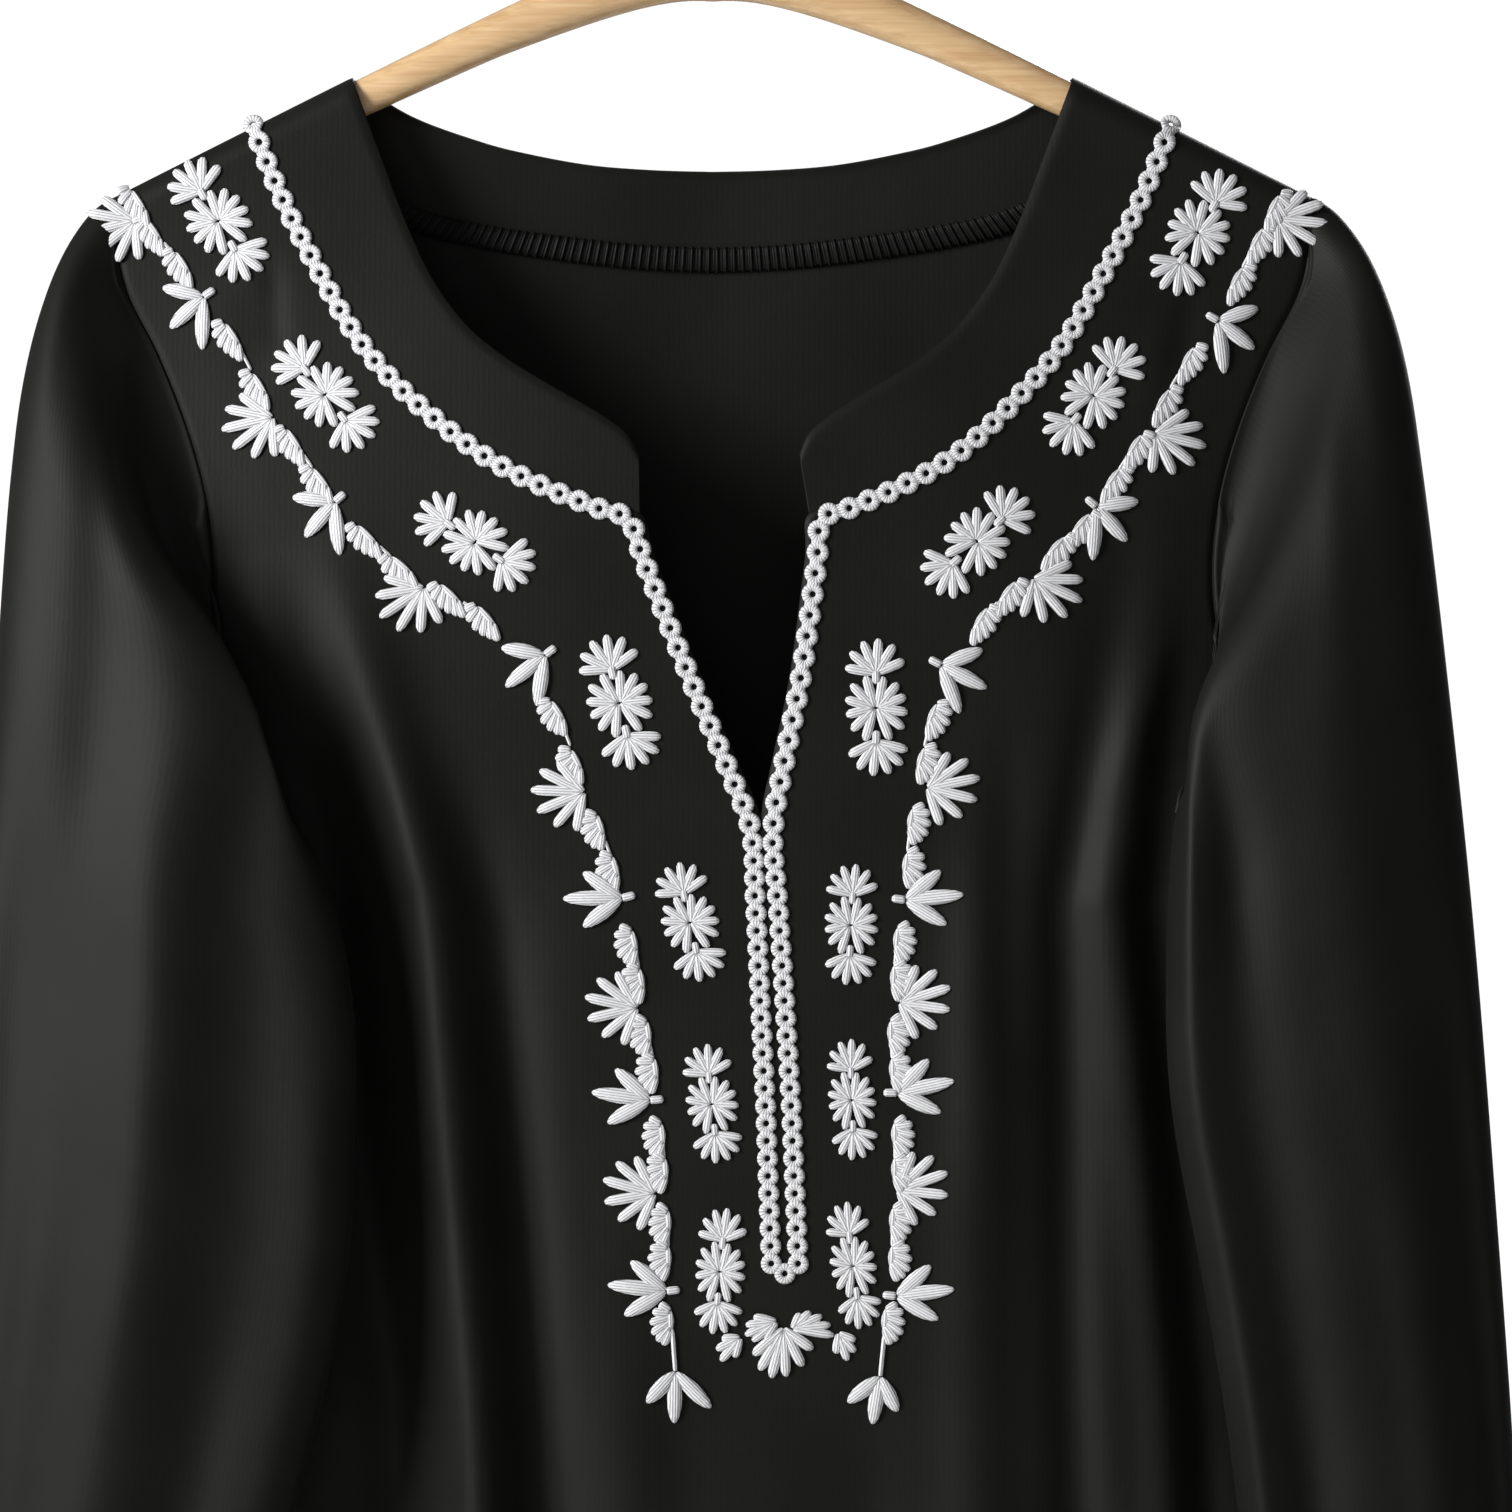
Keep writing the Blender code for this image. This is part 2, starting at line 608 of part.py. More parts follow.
def build_hanger_arms(finish, collection):
    """A bow of wood: ovals along the shoulder line, smaller towards rounded tips."""
    reach = ARM_REACH * np.sin(np.linspace(-math.pi / 2, math.pi / 2, ARM_RINGS))
    half = np.abs(reach)
    tip = np.sqrt(np.clip(1 - (half / ARM_REACH) ** ARM_TIP_POWER, 0.0, 1))
    full_height = np.interp(half, ARM_AT, ARM_HEIGHT)
    height = full_height * tip
    width = np.interp(half, ARM_AT, ARM_WIDTH) * tip
    inner = slice(1, -1)
    top = shoulder_level(half) - WALL - ARM_SEAT - 0.5 * (1 - tip) * full_height
    angle = np.linspace(0, 2 * math.pi, ARM_AROUND, endpoint=False)[None, :]
    middle = (top - height / 2)[inner, None]
    y = width[inner, None] / 2 * np.cos(angle)
    z = middle + height[inner, None] / 2 * np.sin(angle)
    x = np.broadcast_to(reach[inner, None], y.shape)
    rings = to_space(x, y, -z)
    ends = to_space(reach[[0, -1]], np.zeros(2), -(top[[0, -1]]))
    count, around = rings.shape[:2]
    faces = [list(face) for face in grid_faces(count, around, True, True)]
    last = count * around
    for column in range(around):
        beside = (column + 1) % around
        faces.append([last, beside, column])
        faces.append([last + 1, (count - 1) * around + column, (count - 1) * around + beside])
    points = np.concatenate([rings.reshape(-1, 3), ends])
    made = add_object("hanger_arms", points, faces, finish, collection)
    work = bmesh.new()
    work.from_mesh(made.data)
    bmesh.ops.recalc_face_normals(work, faces=work.faces)
    work.to_mesh(made.data)
    work.free()
    made.data.shade_smooth()
    return made


def build_hook(finish, collection):
    """Bent wire: up from the wood, round to the right, over the top and down at the left."""
    centre_z = HOOK_WIRE - HOOK_RADIUS
    wood_top = NECK_LEVEL + (SHOULDER_CROWN - WALL - ARM_SEAT) * MM
    turn = np.radians(np.linspace(HOOK_START_ANGLE, HOOK_END_ANGLE, HOOK_ARC_POINTS))
    arc = [(HOOK_RADIUS * math.cos(angle), centre_z + HOOK_RADIUS * math.sin(angle)) for angle in turn]
    neck = [(across, centre_z - below) for across, below in HOOK_NECK]
    route = [(0.0, wood_top + HOOK_SEAT), *neck, *arc]
    curve = bpy.data.curves.new("hanger_hook", "CURVE")
    curve.dimensions = "3D"
    curve.bevel_depth = HOOK_WIRE
    curve.bevel_resolution = 3
    curve.use_fill_caps = True
    spline = curve.splines.new("POLY")
    spline.points.add(len(route) - 1)
    for point, (x, z) in zip(spline.points, route):
        point.co = (x, 0, z, 1)
    curve.materials.append(finish)
    made = bpy.data.objects.new("hanger_hook", curve)
    collection.objects.link(made)
    return made


def main():
    clear_scene()
    collection = bpy.data.collections.new("embroidered_top")
    bpy.context.scene.collection.children.link(collection)
    crepe = material("black_crepe", (0.012, 0.012, 0.011), 0.85, sheen=0.3)
    thread = material("white_thread", (0.86, 0.85, 0.83), 0.55)
    wood = material("pale_wood", (0.68, 0.47, 0.27), 0.5)
    steel = material("hook_steel", (0.62, 0.62, 0.62), 0.25, metallic=1.0)
    build_panel(
        "front", FRONT_ROWS, FRONT_LEVELS, FRONT_HALF_COLUMNS, True, front_y, 1, crepe, collection
    )
    build_panel(
        "back", BACK_ROWS, BACK_LEVELS, BACK_HALF_COLUMNS, False, back_y, -1, crepe, collection
    )
    build_front_band("neck_band_front_left", -1, crepe, collection)
    build_front_band("neck_band_front_right", 1, crepe, collection)
    build_back_band(crepe, collection)
    build_sleeve("sleeve_left", -1, LEFT_SLEEVE, LEFT_SLEEVE_FOLDS, crepe, collection)
    build_sleeve("sleeve_right", 1, RIGHT_SLEEVE, RIGHT_SLEEVE_FOLDS, crepe, collection)
    build_trim("ring_trim_left", -1, thread, collection)
    build_trim("ring_trim_right", 1, thread, collection)
    build_hanger_arms(wood, collection)
    build_hook(steel, collection)


main()
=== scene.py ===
# Embroidered top on a wooden hanger: cloth, embroidery, hanger, light and camera.
# Tables are in millimetres; "down" is measured below the neck level and x grows to the viewer's right.
import math

import bmesh
import bpy
import numpy as np
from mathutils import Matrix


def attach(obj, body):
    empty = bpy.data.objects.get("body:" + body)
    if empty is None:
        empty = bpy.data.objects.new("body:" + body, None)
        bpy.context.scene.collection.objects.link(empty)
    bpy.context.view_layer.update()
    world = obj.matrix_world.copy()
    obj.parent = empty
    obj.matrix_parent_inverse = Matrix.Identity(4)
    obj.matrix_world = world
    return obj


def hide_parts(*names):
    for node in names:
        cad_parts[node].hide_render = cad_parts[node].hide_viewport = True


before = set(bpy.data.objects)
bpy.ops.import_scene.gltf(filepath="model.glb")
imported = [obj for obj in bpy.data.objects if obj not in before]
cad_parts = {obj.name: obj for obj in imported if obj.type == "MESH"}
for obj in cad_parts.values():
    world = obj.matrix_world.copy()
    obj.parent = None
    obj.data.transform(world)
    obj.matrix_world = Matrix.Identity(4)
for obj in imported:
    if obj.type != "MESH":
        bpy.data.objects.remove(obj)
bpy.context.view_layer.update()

mm = 0.001
neckLevel = -0.145  # height of the neck level below the hook, in metres
catalogue = bpy.data.collections.new("embroideredTop")
bpy.context.scene.collection.children.link(catalogue)


# Small helpers for curves, meshes and materials

def smoothStep(value):
    # rises from 0 to 1 with level ends
    value = np.clip(value, 0, 1)
    return value * value * (3 - 2 * value)


def through(rows, column, at):
    # smooth curve through one column of a table, read at row numbers (Catmull-Rom)
    values = np.array([row[column] for row in rows], float)
    at = np.asarray(at, float)
    low = np.clip(np.floor(at).astype(int), 0, len(values) - 2)
    share = at - low
    before, start = values[np.maximum(low - 1, 0)], values[low]
    end, after = values[low + 1], values[np.minimum(low + 2, len(values) - 1)]
    leave, arrive = (end - before) / 2, (after - start) / 2
    square = share * share
    cube = square * share
    return (
        (2 * cube - 3 * square + 1) * start + (cube - 2 * square + share) * leave
        + (3 * square - 2 * cube) * end + (cube - square) * arrive
    )


def columnsAt(rows, at):
    # every column of a table, read at row numbers
    return [through(rows, column, at) for column in range(len(rows[0]))]


def turns(count):
    # even angles once round
    return np.linspace(0, 2 * math.pi, count, endpoint=False)


def easedShares(count):
    # from 0 to 1, closer together at both ends
    return (1 - np.cos(np.linspace(0, math.pi, count))) / 2


def place(x, y, down):
    # millimetre arrays to points in metres
    x, y, down = np.broadcast_arrays(x, y, down)
    return np.stack([x * mm, y * mm, neckLevel - down * mm], axis=-1)


def gridQuads(rows, columns, around=False, flip=False, closed=False):
    # quads of a grid numbered row by row; around joins its columns into a ring, closed its rows
    counts = rows if closed else rows - 1, columns if around else columns - 1
    row, column = np.meshgrid(*(np.arange(count) for count in counts), indexing="ij")
    nextRow, nextColumn = (row + 1) % rows * columns, (column + 1) % columns
    row = row * columns
    quads = np.stack([row + column, row + nextColumn, nextRow + nextColumn, nextRow + column], axis=-1)
    quads = quads.reshape(-1, 4)
    return quads[:, ::-1] if flip else quads


def repeatQuads(quads, count, size):
    # the quads of one grid for each of several that follow one another, of size points each
    return (quads[None] + (np.arange(count) * size)[:, None, None]).reshape(-1, 4)


def addPiece(name, points, faces, finish, clothUv=None, merge=False):
    # one mesh object at the origin; clothUv holds a pair for each point, in metres of cloth or thread
    mesh = bpy.data.meshes.new(name)
    mesh.from_pydata(points.reshape(-1, 3).tolist(), [], faces.tolist())
    if clothUv is not None:
        layer = mesh.uv_layers.new(name="threadMap")
        corner = np.empty(len(mesh.loops), np.int32)
        mesh.loops.foreach_get("vertex_index", corner)
        layer.data.foreach_set("uv", clothUv.reshape(-1, 2)[corner].astype(np.float32).ravel())
    if merge:
        work = bmesh.new()
        work.from_mesh(mesh)
        bmesh.ops.remove_doubles(work, verts=work.verts, dist=2e-6)
        work.to_mesh(mesh)
        work.free()
    mesh.materials.append(finish)
    mesh.shade_smooth()
    piece = bpy.data.objects.new(name, mesh)
    catalogue.objects.link(piece)
    return piece


def dress(piece, slot, *nodes):
    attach(piece, "root")
    if nodes:
        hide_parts(*nodes)


def hangCloth(piece, thickness, node):
    # cloth that hangs over the hanger's arms; its thickness goes inwards from the modelled face
    wall = piece.modifiers.new("wall", "SOLIDIFY")
    wall.thickness = thickness * mm
    wall.offset = -1.0
    wall.use_even_offset = False
    dress(piece, "cloth", node)


def linear(hexText):
    # sRGB hex to a linear colour
    channel = np.array([int(hexText[at:at + 2], 16) for at in (1, 3, 5)]) / 255
    value = np.where(channel <= 0.04045, channel / 12.92, ((channel + 0.055) / 1.055) ** 2.4)
    return (*value.tolist(), 1.0)


def addNode(tree, kind, settings=None, links=None):
    # one node; settings go to sockets or properties by name, links join its inputs to other outputs
    node = tree.nodes.new("ShaderNode" + kind)
    for name, value in (settings or {}).items():
        if isinstance(name, int) or name in node.inputs:
            node.inputs[name].default_value = value
        else:
            setattr(node, name, value)
    for name, source in (links or {}).items():
        tree.links.new(source, node.inputs[name])
    return node


def newFinish(name, settings):
    finish = bpy.data.materials.new(name)
    finish.use_nodes = True
    tree = finish.node_tree
    shader = tree.nodes["Principled BSDF"]
    for socket, value in settings.items():
        shader.inputs[socket].default_value = value
    return finish, tree, shader


def stretched(tree, source, scale):
    # places on the surface, from one output of the coordinates
    where = addNode(tree, "TexCoord")
    return addNode(tree, "Mapping", {"Scale": scale}, {"Vector": where.outputs[source]}).outputs["Vector"]


def noise(tree, places, scale, detail, roughness=0.5):
    settings = {"Scale": scale, "Detail": detail, "Roughness": roughness}
    return addNode(tree, "TexNoise", settings, {"Vector": places}).outputs["Fac"]


def stripes(tree, places, width, distortion, detailScale):
    # wavy lines along the cloth; a line and the groove beside it are each about as wide as given
    wave = addNode(tree, "TexWave", {
        "Scale": 1 / width / 6.28, "Distortion": distortion, "Detail": 1.0, "Detail Scale": detailScale,
        "bands_direction": "X",
    }, {"Vector": places})
    return wave.outputs["Fac"]


def blend(tree, share, first, second):
    mix = addNode(tree, "Mix", {"data_type": "FLOAT", "Factor": share}, {2: first, 3: second})
    return mix.outputs["Result"]


def colourBetween(tree, shader, value, dark, light):
    # the base colour runs between two colours, each given with the value where it is reached
    shade = addNode(tree, "ValToRGB", {}, {"Fac": value})
    for element, (position, hexText) in zip(shade.color_ramp.elements, (dark, light)):
        element.position = position
        element.color = linear(hexText)
    tree.links.new(shade.outputs["Color"], shader.inputs["Base Color"])


def addRelief(tree, shader, height, strength, distance):
    relief = addNode(tree, "Bump", {"Strength": strength, "Distance": distance}, {"Height": height})
    tree.links.new(relief.outputs["Normal"], shader.inputs["Normal"])


# Finishes

perMm = (1000.0, 1000.0, 1000.0)  # scale that turns metres of cloth into millimetres


def blackCrepe():
    # polyester crepe, overtwisted yarn woven plain: a matte pebbled black with a faint soft sheen
    crepe = {
        "grain": 0.55,  # size of a crepe pebble, mm; real ones are near 0.3 and would not show
        "rib": 0.9,     # width of the faint lengthwise ribs, mm
    }
    finish, tree, shader = newFinish("blackCrepe", {
        "Roughness": 0.54, "Sheen Weight": 0.02, "Sheen Roughness": 0.5, "Specular IOR Level": 0.13,
        "Sheen Tint": linear("#a9aca6"),
    })
    places = stretched(tree, "UV", perMm)
    pebble = noise(tree, places, 1 / crepe["grain"], 3.0, 0.6)
    ribs = stripes(tree, places, crepe["rib"], 2.5, 1.2)
    mottle = blend(tree, 0.45, pebble, noise(tree, places, 0.02, 3.0))
    colourBetween(tree, shader, mottle, (0.3, "#10100f"), (0.7, "#1b1b19"))
    addRelief(tree, shader, blend(tree, 0.3, pebble, ribs), 0.35, 0.00012)
    return finish


def satinThread(name, light, dark, gloss, sheen):
    # rayon floss laid side by side: strands with painted shade in the lines between them, a random tone, and
    # a soft gloss
    floss = {"strand": 0.42}  # width of a strand, mm
    finish, tree, shader = newFinish(name, {
        "Roughness": 0.48, "Sheen Weight": sheen, "Sheen Roughness": 0.4, "Specular IOR Level": gloss,
    })
    places = stretched(tree, "UV", perMm)
    strands = stripes(tree, places, floss["strand"], 0.6, 0.6)
    # painted shade: the base colour goes towards the dark colour in the lines between strands, mixed with a
    # random tone of the thread
    strandShadeAndTone = blend(tree, 0.35, strands, noise(tree, places, 0.35, 2.0))
    colourBetween(tree, shader, strandShadeAndTone, (0.12, dark), (0.5, light))
    addRelief(tree, shader, strands, 0.6, 0.00015)
    return finish


def palePine():
    # turned softwood under clear lacquer: pale honey with darker year lines along the arm
    timber = {"ring": 2.4}  # spacing of the year lines, mm
    finish, tree, shader = newFinish("lacqueredPaleWood", {
        "Roughness": 0.38, "Coat Weight": 0.25, "Coat Roughness": 0.2,
    })
    places = stretched(tree, "Object", (22.0, 1000.0, 1000.0))  # drawn out along the arm
    rings = noise(tree, places, 1 / timber["ring"], 2.0)
    grain = blend(tree, 0.35, rings, noise(tree, places, 1.6, 4.0))
    colourBetween(tree, shader, grain, (0.2, "#b98d5c"), (0.75, "#e8c79a"))
    addRelief(tree, shader, grain, 0.25, 0.0001)
    return finish


def platedWire():
    # zinc-plated drawn wire: bright grey metal with fine dull marks
    finish, tree, shader = newFinish("zincPlatedWire", {"Metallic": 1.0, "Base Color": linear("#c9ccd0")})
    marks = noise(tree, stretched(tree, "Object", (1500.0, 1500.0, 1500.0)), 1.2, 3.0)
    gloss = addNode(tree, "MapRange", {"To Min": 0.2, "To Max": 0.36}, {"Value": marks})
    tree.links.new(gloss.outputs["Result"], shader.inputs["Roughness"])
    return finish


crepeCloth = blackCrepe()
# the second colour of each thread is painted shade for the lines between its strands
whiteFloss = satinThread("whiteSatinFloss", "#e9e9eb", "#8f9093", 0.4, 0.15)
blackThread = satinThread("blackSewingThread", "#151514", "#060606", 0.12, 0.02)
hangerWood = palePine()
hookWire = platedWire()
print("finishes ready")


# The body of the top: the same lines as its solids, with finer folds

shoulders = {"crown": 51.0, "slope": 0.51, "bend": 25.0, "round": 9.0}
body = {
    "underarmDown": 216.0, "underarmHalf": 189.0, "hemDown": 660.0, "hemFlare": 16.0, "spread": 0.09,
    "frontDepth": 30.0, "backDepth": 25.0, "depthReach": 190.0, "seamPlay": 0.12, "wall": 0.7,
    "rollDeep": 0.8, "rollWide": 1.5, "foldGrows": 130, "nearRows": 24, "restRows": 180, "columns": 92,
}
band = {  # faced, so thicker than the panels
    "wall": 1.1, "turned": 1.0, "turnReach": 1.1, "nearRows": 20, "restRows": 90, "columns": 14,
}
driftRows = (  # sideways drift of the front's centre: down, across
    (75, 0), (100, 0.5), (140, 4), (190, 10.5), (240, 16),
    (280, 18.5), (330, 21.3), (380, 23.3), (430, 24), (660, 22),
)
frontRows = (  # lines across the front: innerDown, innerHalf, outerDown, outerHalf
    (12.8, 148, 36.5, 195), (37, 138.4, 64, 191.5), (60, 127, 88, 180), (86, 112, 110, 171),
    (105, 95, 130, 165), (121, 76, 148, 162), (131, 58, 163, 161.5), (136.5, 43, 176, 163),
    (140, 27, 188, 167), (155, 23.7, 199, 174), (193, 13.8, 208, 181.5), (220, 5.2, 213, 186),
    (238, 0, 216, 189), (262, 0, 245, 189), (292, 0, 280, 189), (335, 0, 327, 190),
    (385, 0, 382, 191), (445, 0, 445, 193), (515, 0, 516, 196), (588, 0, 590, 200), (658, 0, 660, 205),
)
frontUnderarmRow = 12
backRows = (
    (12.8, 148, 36.5, 195), (32, 126, 64, 192.5), (45, 98, 90, 186), (50.5, 75, 112, 181),
    (54.5, 48, 132, 178), (57, 24, 150, 176.5), (58, 0, 166, 176), (75, 0, 180, 177.5),
    (100, 0, 193, 181), (135, 0, 205, 185), (175, 0, 213, 187.5), (215, 0, 216, 189),
    (252, 0, 248, 189), (295, 0, 285, 189), (345, 0, 335, 190), (400, 0, 393, 191),
    (460, 0, 457, 194), (525, 0, 524, 197), (590, 0, 592, 200), (658, 0, 660, 205),
)
backUnderarmRow = 11
frontBandRows = (  # lines across a neck band: edgeDown, edgeHalf, seamDown, seamHalf
    (-2.7, 117, 12.8, 148), (24, 107, 37, 138.4), (45, 99, 60, 127), (64, 90, 86, 112), (79, 79, 105, 95),
    (90, 66, 121, 76), (100, 50, 131, 58), (108, 37, 136.5, 43), (114, 29.5, 138.6, 34),
    (121, 25.7, 139.7, 27),
)
backBandRows = (
    (-2.7, 117, 12.8, 148), (9, 98, 32, 126), (17, 76, 45, 98), (21, 60, 50.5, 75), (24.5, 40, 54.5, 48),
    (26, 20, 57, 24), (26.5, 0, 58, 0),
)
foldLevels = (155, 264, 424, 660)
frontFolds = (  # long folds: start, across at the four levels, height, width
    (130, -120, -90, -75, -64, 11, 11), (205, -90, -71, -58, -42, -7, 9),
    (150, -142, -120, -103, -96, -8, 11), (330, -30, -30, -28, -18, 4, 14),
    (110, 147, 131, 146, 154, 5.5, 10), (130, 131, 113, 116, 124, -4.5, 8),
    (120, 150, 140, 156, 172, -5, 9), (190, 88, 87, 84, 90, 4, 12),
    (400, 44, 44, 48, 58, -5, 12), (300, -150, -150, -142, -146, 5, 12),
)
backFolds = (
    (120, -118, -104, -96, -108, 8, 13), (200, -84, -74, -66, -70, -6, 12), (260, -30, -28, -24, -34, 6, 16),
    (170, 96, 84, 78, 88, 8, 13), (240, 52, 46, 40, 48, -6, 12), (150, 138, 130, 128, 138, -6, 12),
)
frontCreases = (  # short soft creases: fromX, fromDown, toX, toDown, height, width
    (-143, 50, -140, 96, -0.9, 4.5), (-149, 62, -146, 104, -0.7, 6),
    (-150, 150, -118, 245, 1.4, 7), (-112, 190, -92, 330, -1.3, 7), (-60, 230, -52, 420, -1.0, 9),
    (-84, 330, -70, 560, 1.4, 8), (150, 168, 128, 240, 1.3, 6), (96, 190, 92, 330, -1.3, 7),
    (84, 220, 86, 380, 1.0, 8), (118, 330, 134, 520, 1.2, 8), (156, 300, 178, 470, -1.2, 8),
    (30, 425, 40, 560, -1.2, 9), (4, 420, -4, 600, 1.1, 10), (-120, 420, -104, 610, -1.4, 9),
    (60, 450, 74, 620, 1.0, 9), (156, 62, 150, 100, -1.0, 5), (146, 70, 138, 118, 0.8, 6),
)
backCreases = (
    (-150, 90, -118, 190, 1.3, 8), (150, 90, 116, 200, 1.3, 8), (-96, 230, -84, 420, -1.2, 8),
    (104, 240, 92, 430, -1.2, 8), (-46, 300, -40, 520, 1.0, 9), (20, 280, 12, 500, 1.1, 10),
    (66, 380, 60, 600, 1.0, 9), (-130, 380, -140, 600, 1.2, 9),
)


def shoulderLevel(half):
    # a bow with a rounded crown that falls by its slope each way
    bend = shoulders["bend"]
    return shoulders["crown"] - shoulders["slope"] * (np.sqrt(half**2 + bend**2) - bend)


def closingHalf(down):
    # half width where front and back meet: the side seam, and wider above the underarm
    below = (down - body["underarmDown"]) / (body["hemDown"] - body["underarmDown"])
    above = np.clip(body["underarmDown"] - down, 0, None)
    return body["underarmHalf"] + body["hemFlare"] * np.clip(below, 0, None) ** 2 + body["spread"] * above


def drift(down):
    levels, across = zip(*driftRows)
    return np.interp(down, levels, across)


def foldHeight(folds, x, down):
    # long ridges and troughs: a bell across each line, growing from its start
    total = np.zeros(np.broadcast(x, down).shape)
    for start, *across, height, width in folds:
        line = np.interp(down, foldLevels, across)
        grown = smoothStep((down - start) / body["foldGrows"])
        total += height * grown * np.exp(-(((x - line) / width) ** 2))
    return total


def fadeOut(share):
    # 1 in the middle of a crease and 0 at both ends
    return smoothStep(share / 0.35) * smoothStep((1 - share) / 0.35)


def creaseHeight(creases, x, down):
    # short creases: a bell across the line between two places, fading towards both
    total = np.zeros(np.broadcast(x, down).shape)
    for fromX, fromDown, toX, toDown, height, width in creases:
        length = math.hypot(toX - fromX, toDown - fromDown)
        runX, runDown = (toX - fromX) / length, (toDown - fromDown) / length
        along = ((x - fromX) * runX + (down - fromDown) * runDown) / length
        away = (x - fromX) * runDown - (down - fromDown) * runX
        total += height * fadeOut(along) * np.exp(-((away / width) ** 2))
    return total


def slack(x, down):
    # very low waves of loose cloth: crossed sines of unlike lengths, in mm
    return 0.22 * np.sin(x / 11.3 + 1.9 * np.sin(down / 47)) + 0.16 * np.sin(down / 31 + 2.3 * np.sin(x / 39))


def ovalDepth(x, down, depth, folds):
    # depth of the section's middle over the arm and below it, with its folds fading to the side seam
    dropped = np.clip(shoulderLevel(np.abs(x)) + down, 0, None)
    overArm = np.sqrt(1 - (1 - np.clip(dropped / shoulders["round"], 0, 1)) ** 2)
    below = smoothStep(dropped / body["depthReach"])
    hanging = shoulders["round"] * overArm + (depth - shoulders["round"]) * below
    share = np.clip(np.abs(x) / closingHalf(down), 0, 1)
    return hanging, foldHeight(folds, x, down) * (1 - share**6), share


def squareness(down):
    return np.interp(down, (40, 150), (4.0, 2.4))


def standing(x, down, depth, folds, creases):
    # how far cloth stands from the hanger's plane: hanging * (1 - share^p)^(1/p) + folds + creases
    hanging, folded, share = ovalDepth(x, down, depth, folds)
    power = squareness(down)
    loose = (1 - share**6) * smoothStep((shoulderLevel(np.abs(x)) + down) / 25)
    fine = (creaseHeight(creases, x, down) + slack(x, down)) * loose
    return hanging * (1 - share**power) ** (1 / power) + folded + fine + body["seamPlay"]


def frontY(x, down):
    return -standing(x, down, body["frontDepth"], frontFolds, frontCreases)


def backY(x, down):
    return standing(x, down, body["backDepth"], backFolds, backCreases)


def panelEdges(rows, at, drifts):
    # both ends of each line across a panel, for the viewer's right half
    innerDown, innerHalf, outerDown, outerHalf = columnsAt(rows, at)
    below = outerDown >= body["underarmDown"] - 1e-6
    outerHalf = np.where(below, closingHalf(outerDown), outerHalf)
    innerHalf = np.where(innerHalf < 0.01, 0, innerHalf)
    shift = drift(innerDown) if drifts else np.zeros(len(at))
    return innerHalf, shift, innerDown, outerHalf, outerDown


def seamRoll(x, down, depthOf, away):
    # cloth rolls in beside a seam: a shallow bell in the last millimetres
    depth = depthOf(x, down)
    return depth - np.sign(depth) * body["rollDeep"] * np.exp(-((away / body["rollWide"]) ** 2))


def rowPlaces(rows, counts):
    # row numbers to read a table at: some near the shoulder, closer together there, and the rest even
    near = np.linspace(0, 1, counts["nearRows"], endpoint=False) ** 1.8
    return np.append(near, np.linspace(1, len(rows) - 1, counts["restRows"]))


def panelGrid(rows, drifts, depthOf, side):
    # points of half a panel: straight lines from the neck side to the outer side, bent by its depth
    innerHalf, shift, innerDown, outerHalf, outerDown = panelEdges(rows, rowPlaces(rows, body), drifts)
    share = np.sin(np.linspace(0, math.pi / 2, body["columns"] + 1))[None, :]
    innerX = (side * innerHalf + shift)[:, None]
    outerX = (side * outerHalf)[:, None]
    x = innerX + (outerX - innerX) * share
    down = innerDown[:, None] + (outerDown - innerDown)[:, None] * share
    return x, seamRoll(x, down, depthOf, np.abs(outerX - x)), down


def bandGrid(rows, drifts, depthOf, side):
    # points of half a neck band, from its free edge, which is turned over, to its seam
    edgeDown, edgeHalf, seamDown, seamHalf = columnsAt(rows, rowPlaces(rows, band))
    edgeX = side * edgeHalf + (drift(edgeDown) if drifts else 0)
    seamX = side * seamHalf + (drift(seamDown) if drifts else 0)
    share = easedShares(band["columns"] + 1)[None, :]
    x = edgeX[:, None] + (seamX - edgeX)[:, None] * share
    down = edgeDown[:, None] + (seamDown - edgeDown)[:, None] * share
    width = np.hypot(seamX - edgeX, seamDown - edgeDown)[:, None]
    turned = -band["turned"] * np.exp(-((share * width / band["turnReach"]) ** 2))
    return x, depthOf(x, down) + np.sign(depthOf(x, down)) * turned, down


def buildHalves(name, gridOf, rows, sides, back, wall, node):
    # a front or back cloth of one half or two, joined where they meet
    pointSets, uvSets, faceSets, first = [], [], [], 0
    for side in sides:
        x, y, down = gridOf(rows, not back, backY if back else frontY, side)
        faceSets.append(gridQuads(*x.shape, flip=(side < 0) == back) + first)
        pointSets.append(place(x, y, down).reshape(-1, 3))
        uvSets.append(np.stack([x, down], axis=-1).reshape(-1, 2) * mm)
        first += x.size
    points, faces, uv = (np.concatenate(sets) for sets in (pointSets, faceSets, uvSets))
    hangCloth(addPiece(name, points, faces, crepeCloth, uv, merge=True), wall, node)


both = (-1, 1)
buildHalves("frontCloth", panelGrid, frontRows, both, False, body["wall"], "front")
buildHalves("backCloth", panelGrid, backRows, both, True, body["wall"], "back")
print("front and back hung")
for name, side, node in (("neckBandFrontLeft", -1, "neck_band_front_left"),
                         ("neckBandFrontRight", 1, "neck_band_front_right")):
    buildHalves(name, bandGrid, frontBandRows, (side,), False, band["wall"], node)
buildHalves("neckBandBack", bandGrid, backBandRows, both, True, band["wall"],
            "neck_band_back")
print("neck bands sewn")


# Sleeves

